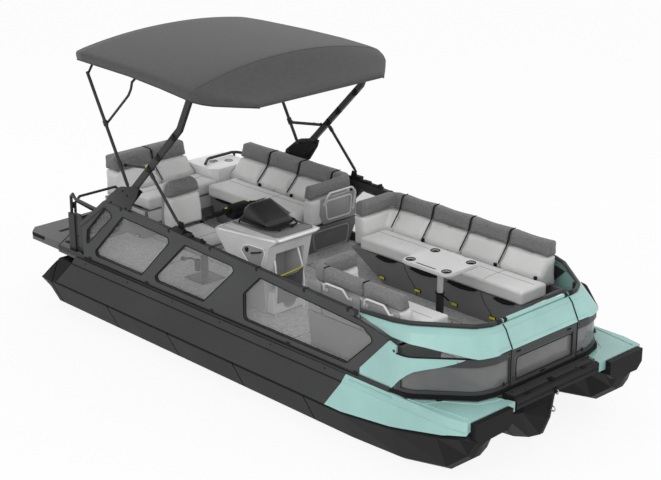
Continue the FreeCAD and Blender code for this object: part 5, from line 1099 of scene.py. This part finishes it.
build("strutFeet", "black", [(block, (x0, 1.139, low), (x1, 1.189, high), 0.004) for x0, x1, low, high in (
    (-0.64, -0.13, 1.33, 1.35), (-0.56, -0.42, 1.34, 1.392), (-0.4, -0.3, 1.338, 1.366))] +
    [(tube, [(-0.17, 1.15, 1.352), (-0.17, 1.192, 1.352)], 0.017, 16)], both=True)
build("strutFeetScrews", "tube", [(screw, (x, 1.164, z), upward, 0.008, 0.004)
    for x, z in ((-0.61, 1.3502), (-0.35, 1.366), (-0.23, 1.3502))], both=True)


def leg(bow, y, first, last, radius):
    # a sleeve over part of a bow's leg
    foot, head = (Vector((x, y, z)) for x, z in topForm[bow])
    return tube, [foot.lerp(head, first), foot.lerp(head, last)], radius, 12


for name, key, body, bow, plane, places in topForm["sleeves"]:
    build(name, key, [leg(bow, side * topForm[plane], *values) for side in sides for values in places], body)
build("linkPivots", "black", [(disc, (x, side * topForm["linkY"], z), 0.019, 0.012, toPort, 20, 0.003)
    for side in sides for x, z in topForm["link"]], "brace_links")
build("linkTags", "yellow", [(block, (-1.065, y, 1.822), (-1.015, y + 0.01, 1.852), 0.003) for y in (-1.096, 1.086)],
      "brace_links")
foldsUp(build("canopyStraps", "rubber", [
    (sweep, [(-2.082, y, 2.745), (-2.05, y, 2.7), (-1.985, y, 2.712)], bar(0.025, 0.003), toPort)
    for y in (-0.8, 0.8)], "rear_bow"))
stage("bimini fittings")


# Dark strips along the deck's edge, groove at the foot of the covers' upper ledge, screws under the fence
deckLine = [(2.27, 1.183), (2.46, 1.173), (2.907, 0.788), (2.953, 0.602), (2.953, 0.0)]
for name, key, line, z, high in (("deckEdgeStrip", "rubber", deckLine, 0.664, 0.034),
        ("deckSideStrip", "tube", [(-2.49, 1.168), (2.27, 1.183)], 0.652, 0.05),
        ("ledgeGroove", "rubber", [(-2.3, 1.1935), (1.705, 1.1935)], 0.561, 0.01)):
    build(name, key, [(sweep, [(x, side * y, z) for x, y in line], bar(0.005, high)) for side in sides])
build("coverScrews", "rubber", [(screw, (x, 1.1925, 0.625), toPort, 0.008) for x in (-2.0, -1.3, -0.6, 0.1, 0.8, 1.5)],
      both=True)
stage("deck edge")


# Camera, lights and floor
def stand(name, data, where, way):
    held = bpy.data.objects.new(name, data)
    held.location = where
    held.rotation_euler = way.to_track_quat("-Z", "Y").to_euler()
    collection.objects.link(held)
    return held


cameraData = bpy.data.cameras.new("photoCamera")
cameraData.lens = 89.73
cameraData.sensor_width = 36
context.scene.camera = stand("photoCamera", cameraData, (10.925, -10.145, 6.53), Vector((-0.6788, 0.65, -0.3418)))
lightPlan = {  # place, size, watts, colour; all aim at the middle of the boat
    "keyLight": ((6.0, -8.5, 5.4), 5.0, 235.0, (1.0, 0.995, 0.985)),
    "fillLight": ((9, 4, 5), 6.0, 90.0, (0.98, 0.99, 1.0)),
    "topLight": ((-2, 2, 11), 8.0, 95.0, (1, 1, 1)),
    "sternLight": ((-9, -2, 5), 6.0, 60.0, (1, 1, 1)),
}
for name, (where, size, watts, colour) in lightPlan.items():
    lamp = bpy.data.lights.new(name, "AREA")
    lamp.shape = "SQUARE"
    lamp.size, lamp.energy, lamp.color = size, watts, colour
    stand(name, lamp, where, Vector((0, 0, 0.8)) - Vector(where))

studio = {"worldLight": 0.84, "floorTone": (0.9, 0.9, 0.9, 1), "floorGlow": 0.9, "white": (1, 1, 1, 1)}


def seenDirectly(tree):
    path = add(tree, "LightPath", {}).outputs
    through = mathNode(tree, "MAXIMUM", path["Is Camera Ray"], path["Is Transmission Ray"])
    return mathNode(tree, "MAXIMUM", through, path["Is Glossy Ray"])


world = context.scene.world or bpy.data.worlds.new("studio")
context.scene.world = world
world.use_nodes = True
tree = world.node_tree
tree.nodes.clear()
background = add(tree, "Background", {"Color": studio["white"],
    "Strength": span(tree, seenDirectly(tree), studio["worldLight"], 1.0)})
add(tree, "OutputWorld", {"Surface": background.outputs["Background"]})
context.scene.view_settings.view_transform = "Standard"

floorMaterial, tree = blank("paleFloor")[:2]
tree.nodes.clear()
diffuse = add(tree, "BsdfDiffuse", {"Color": studio["floorTone"]})
glow = add(tree, "Emission", {"Color": studio["white"]})
both = add(tree, "MixShader", {"Fac": mathNode(tree, "MULTIPLY", seenDirectly(tree), studio["floorGlow"]),
    1: diffuse.outputs["BSDF"], 2: glow.outputs["Emission"]})
add(tree, "OutputMaterial", {"Surface": both.outputs["Shader"]})
floorMesh = bpy.data.meshes.new("floor")
shape = bmesh.new()
bmesh.ops.create_grid(shape, x_segments=1, y_segments=1, size=40)
shape.to_mesh(floorMesh)
shape.free()
floorMesh.materials.append(floorMaterial)
floor = bpy.data.objects.new("floor", floorMesh)
collection.objects.link(floor)
stage("camera, lights and floor")
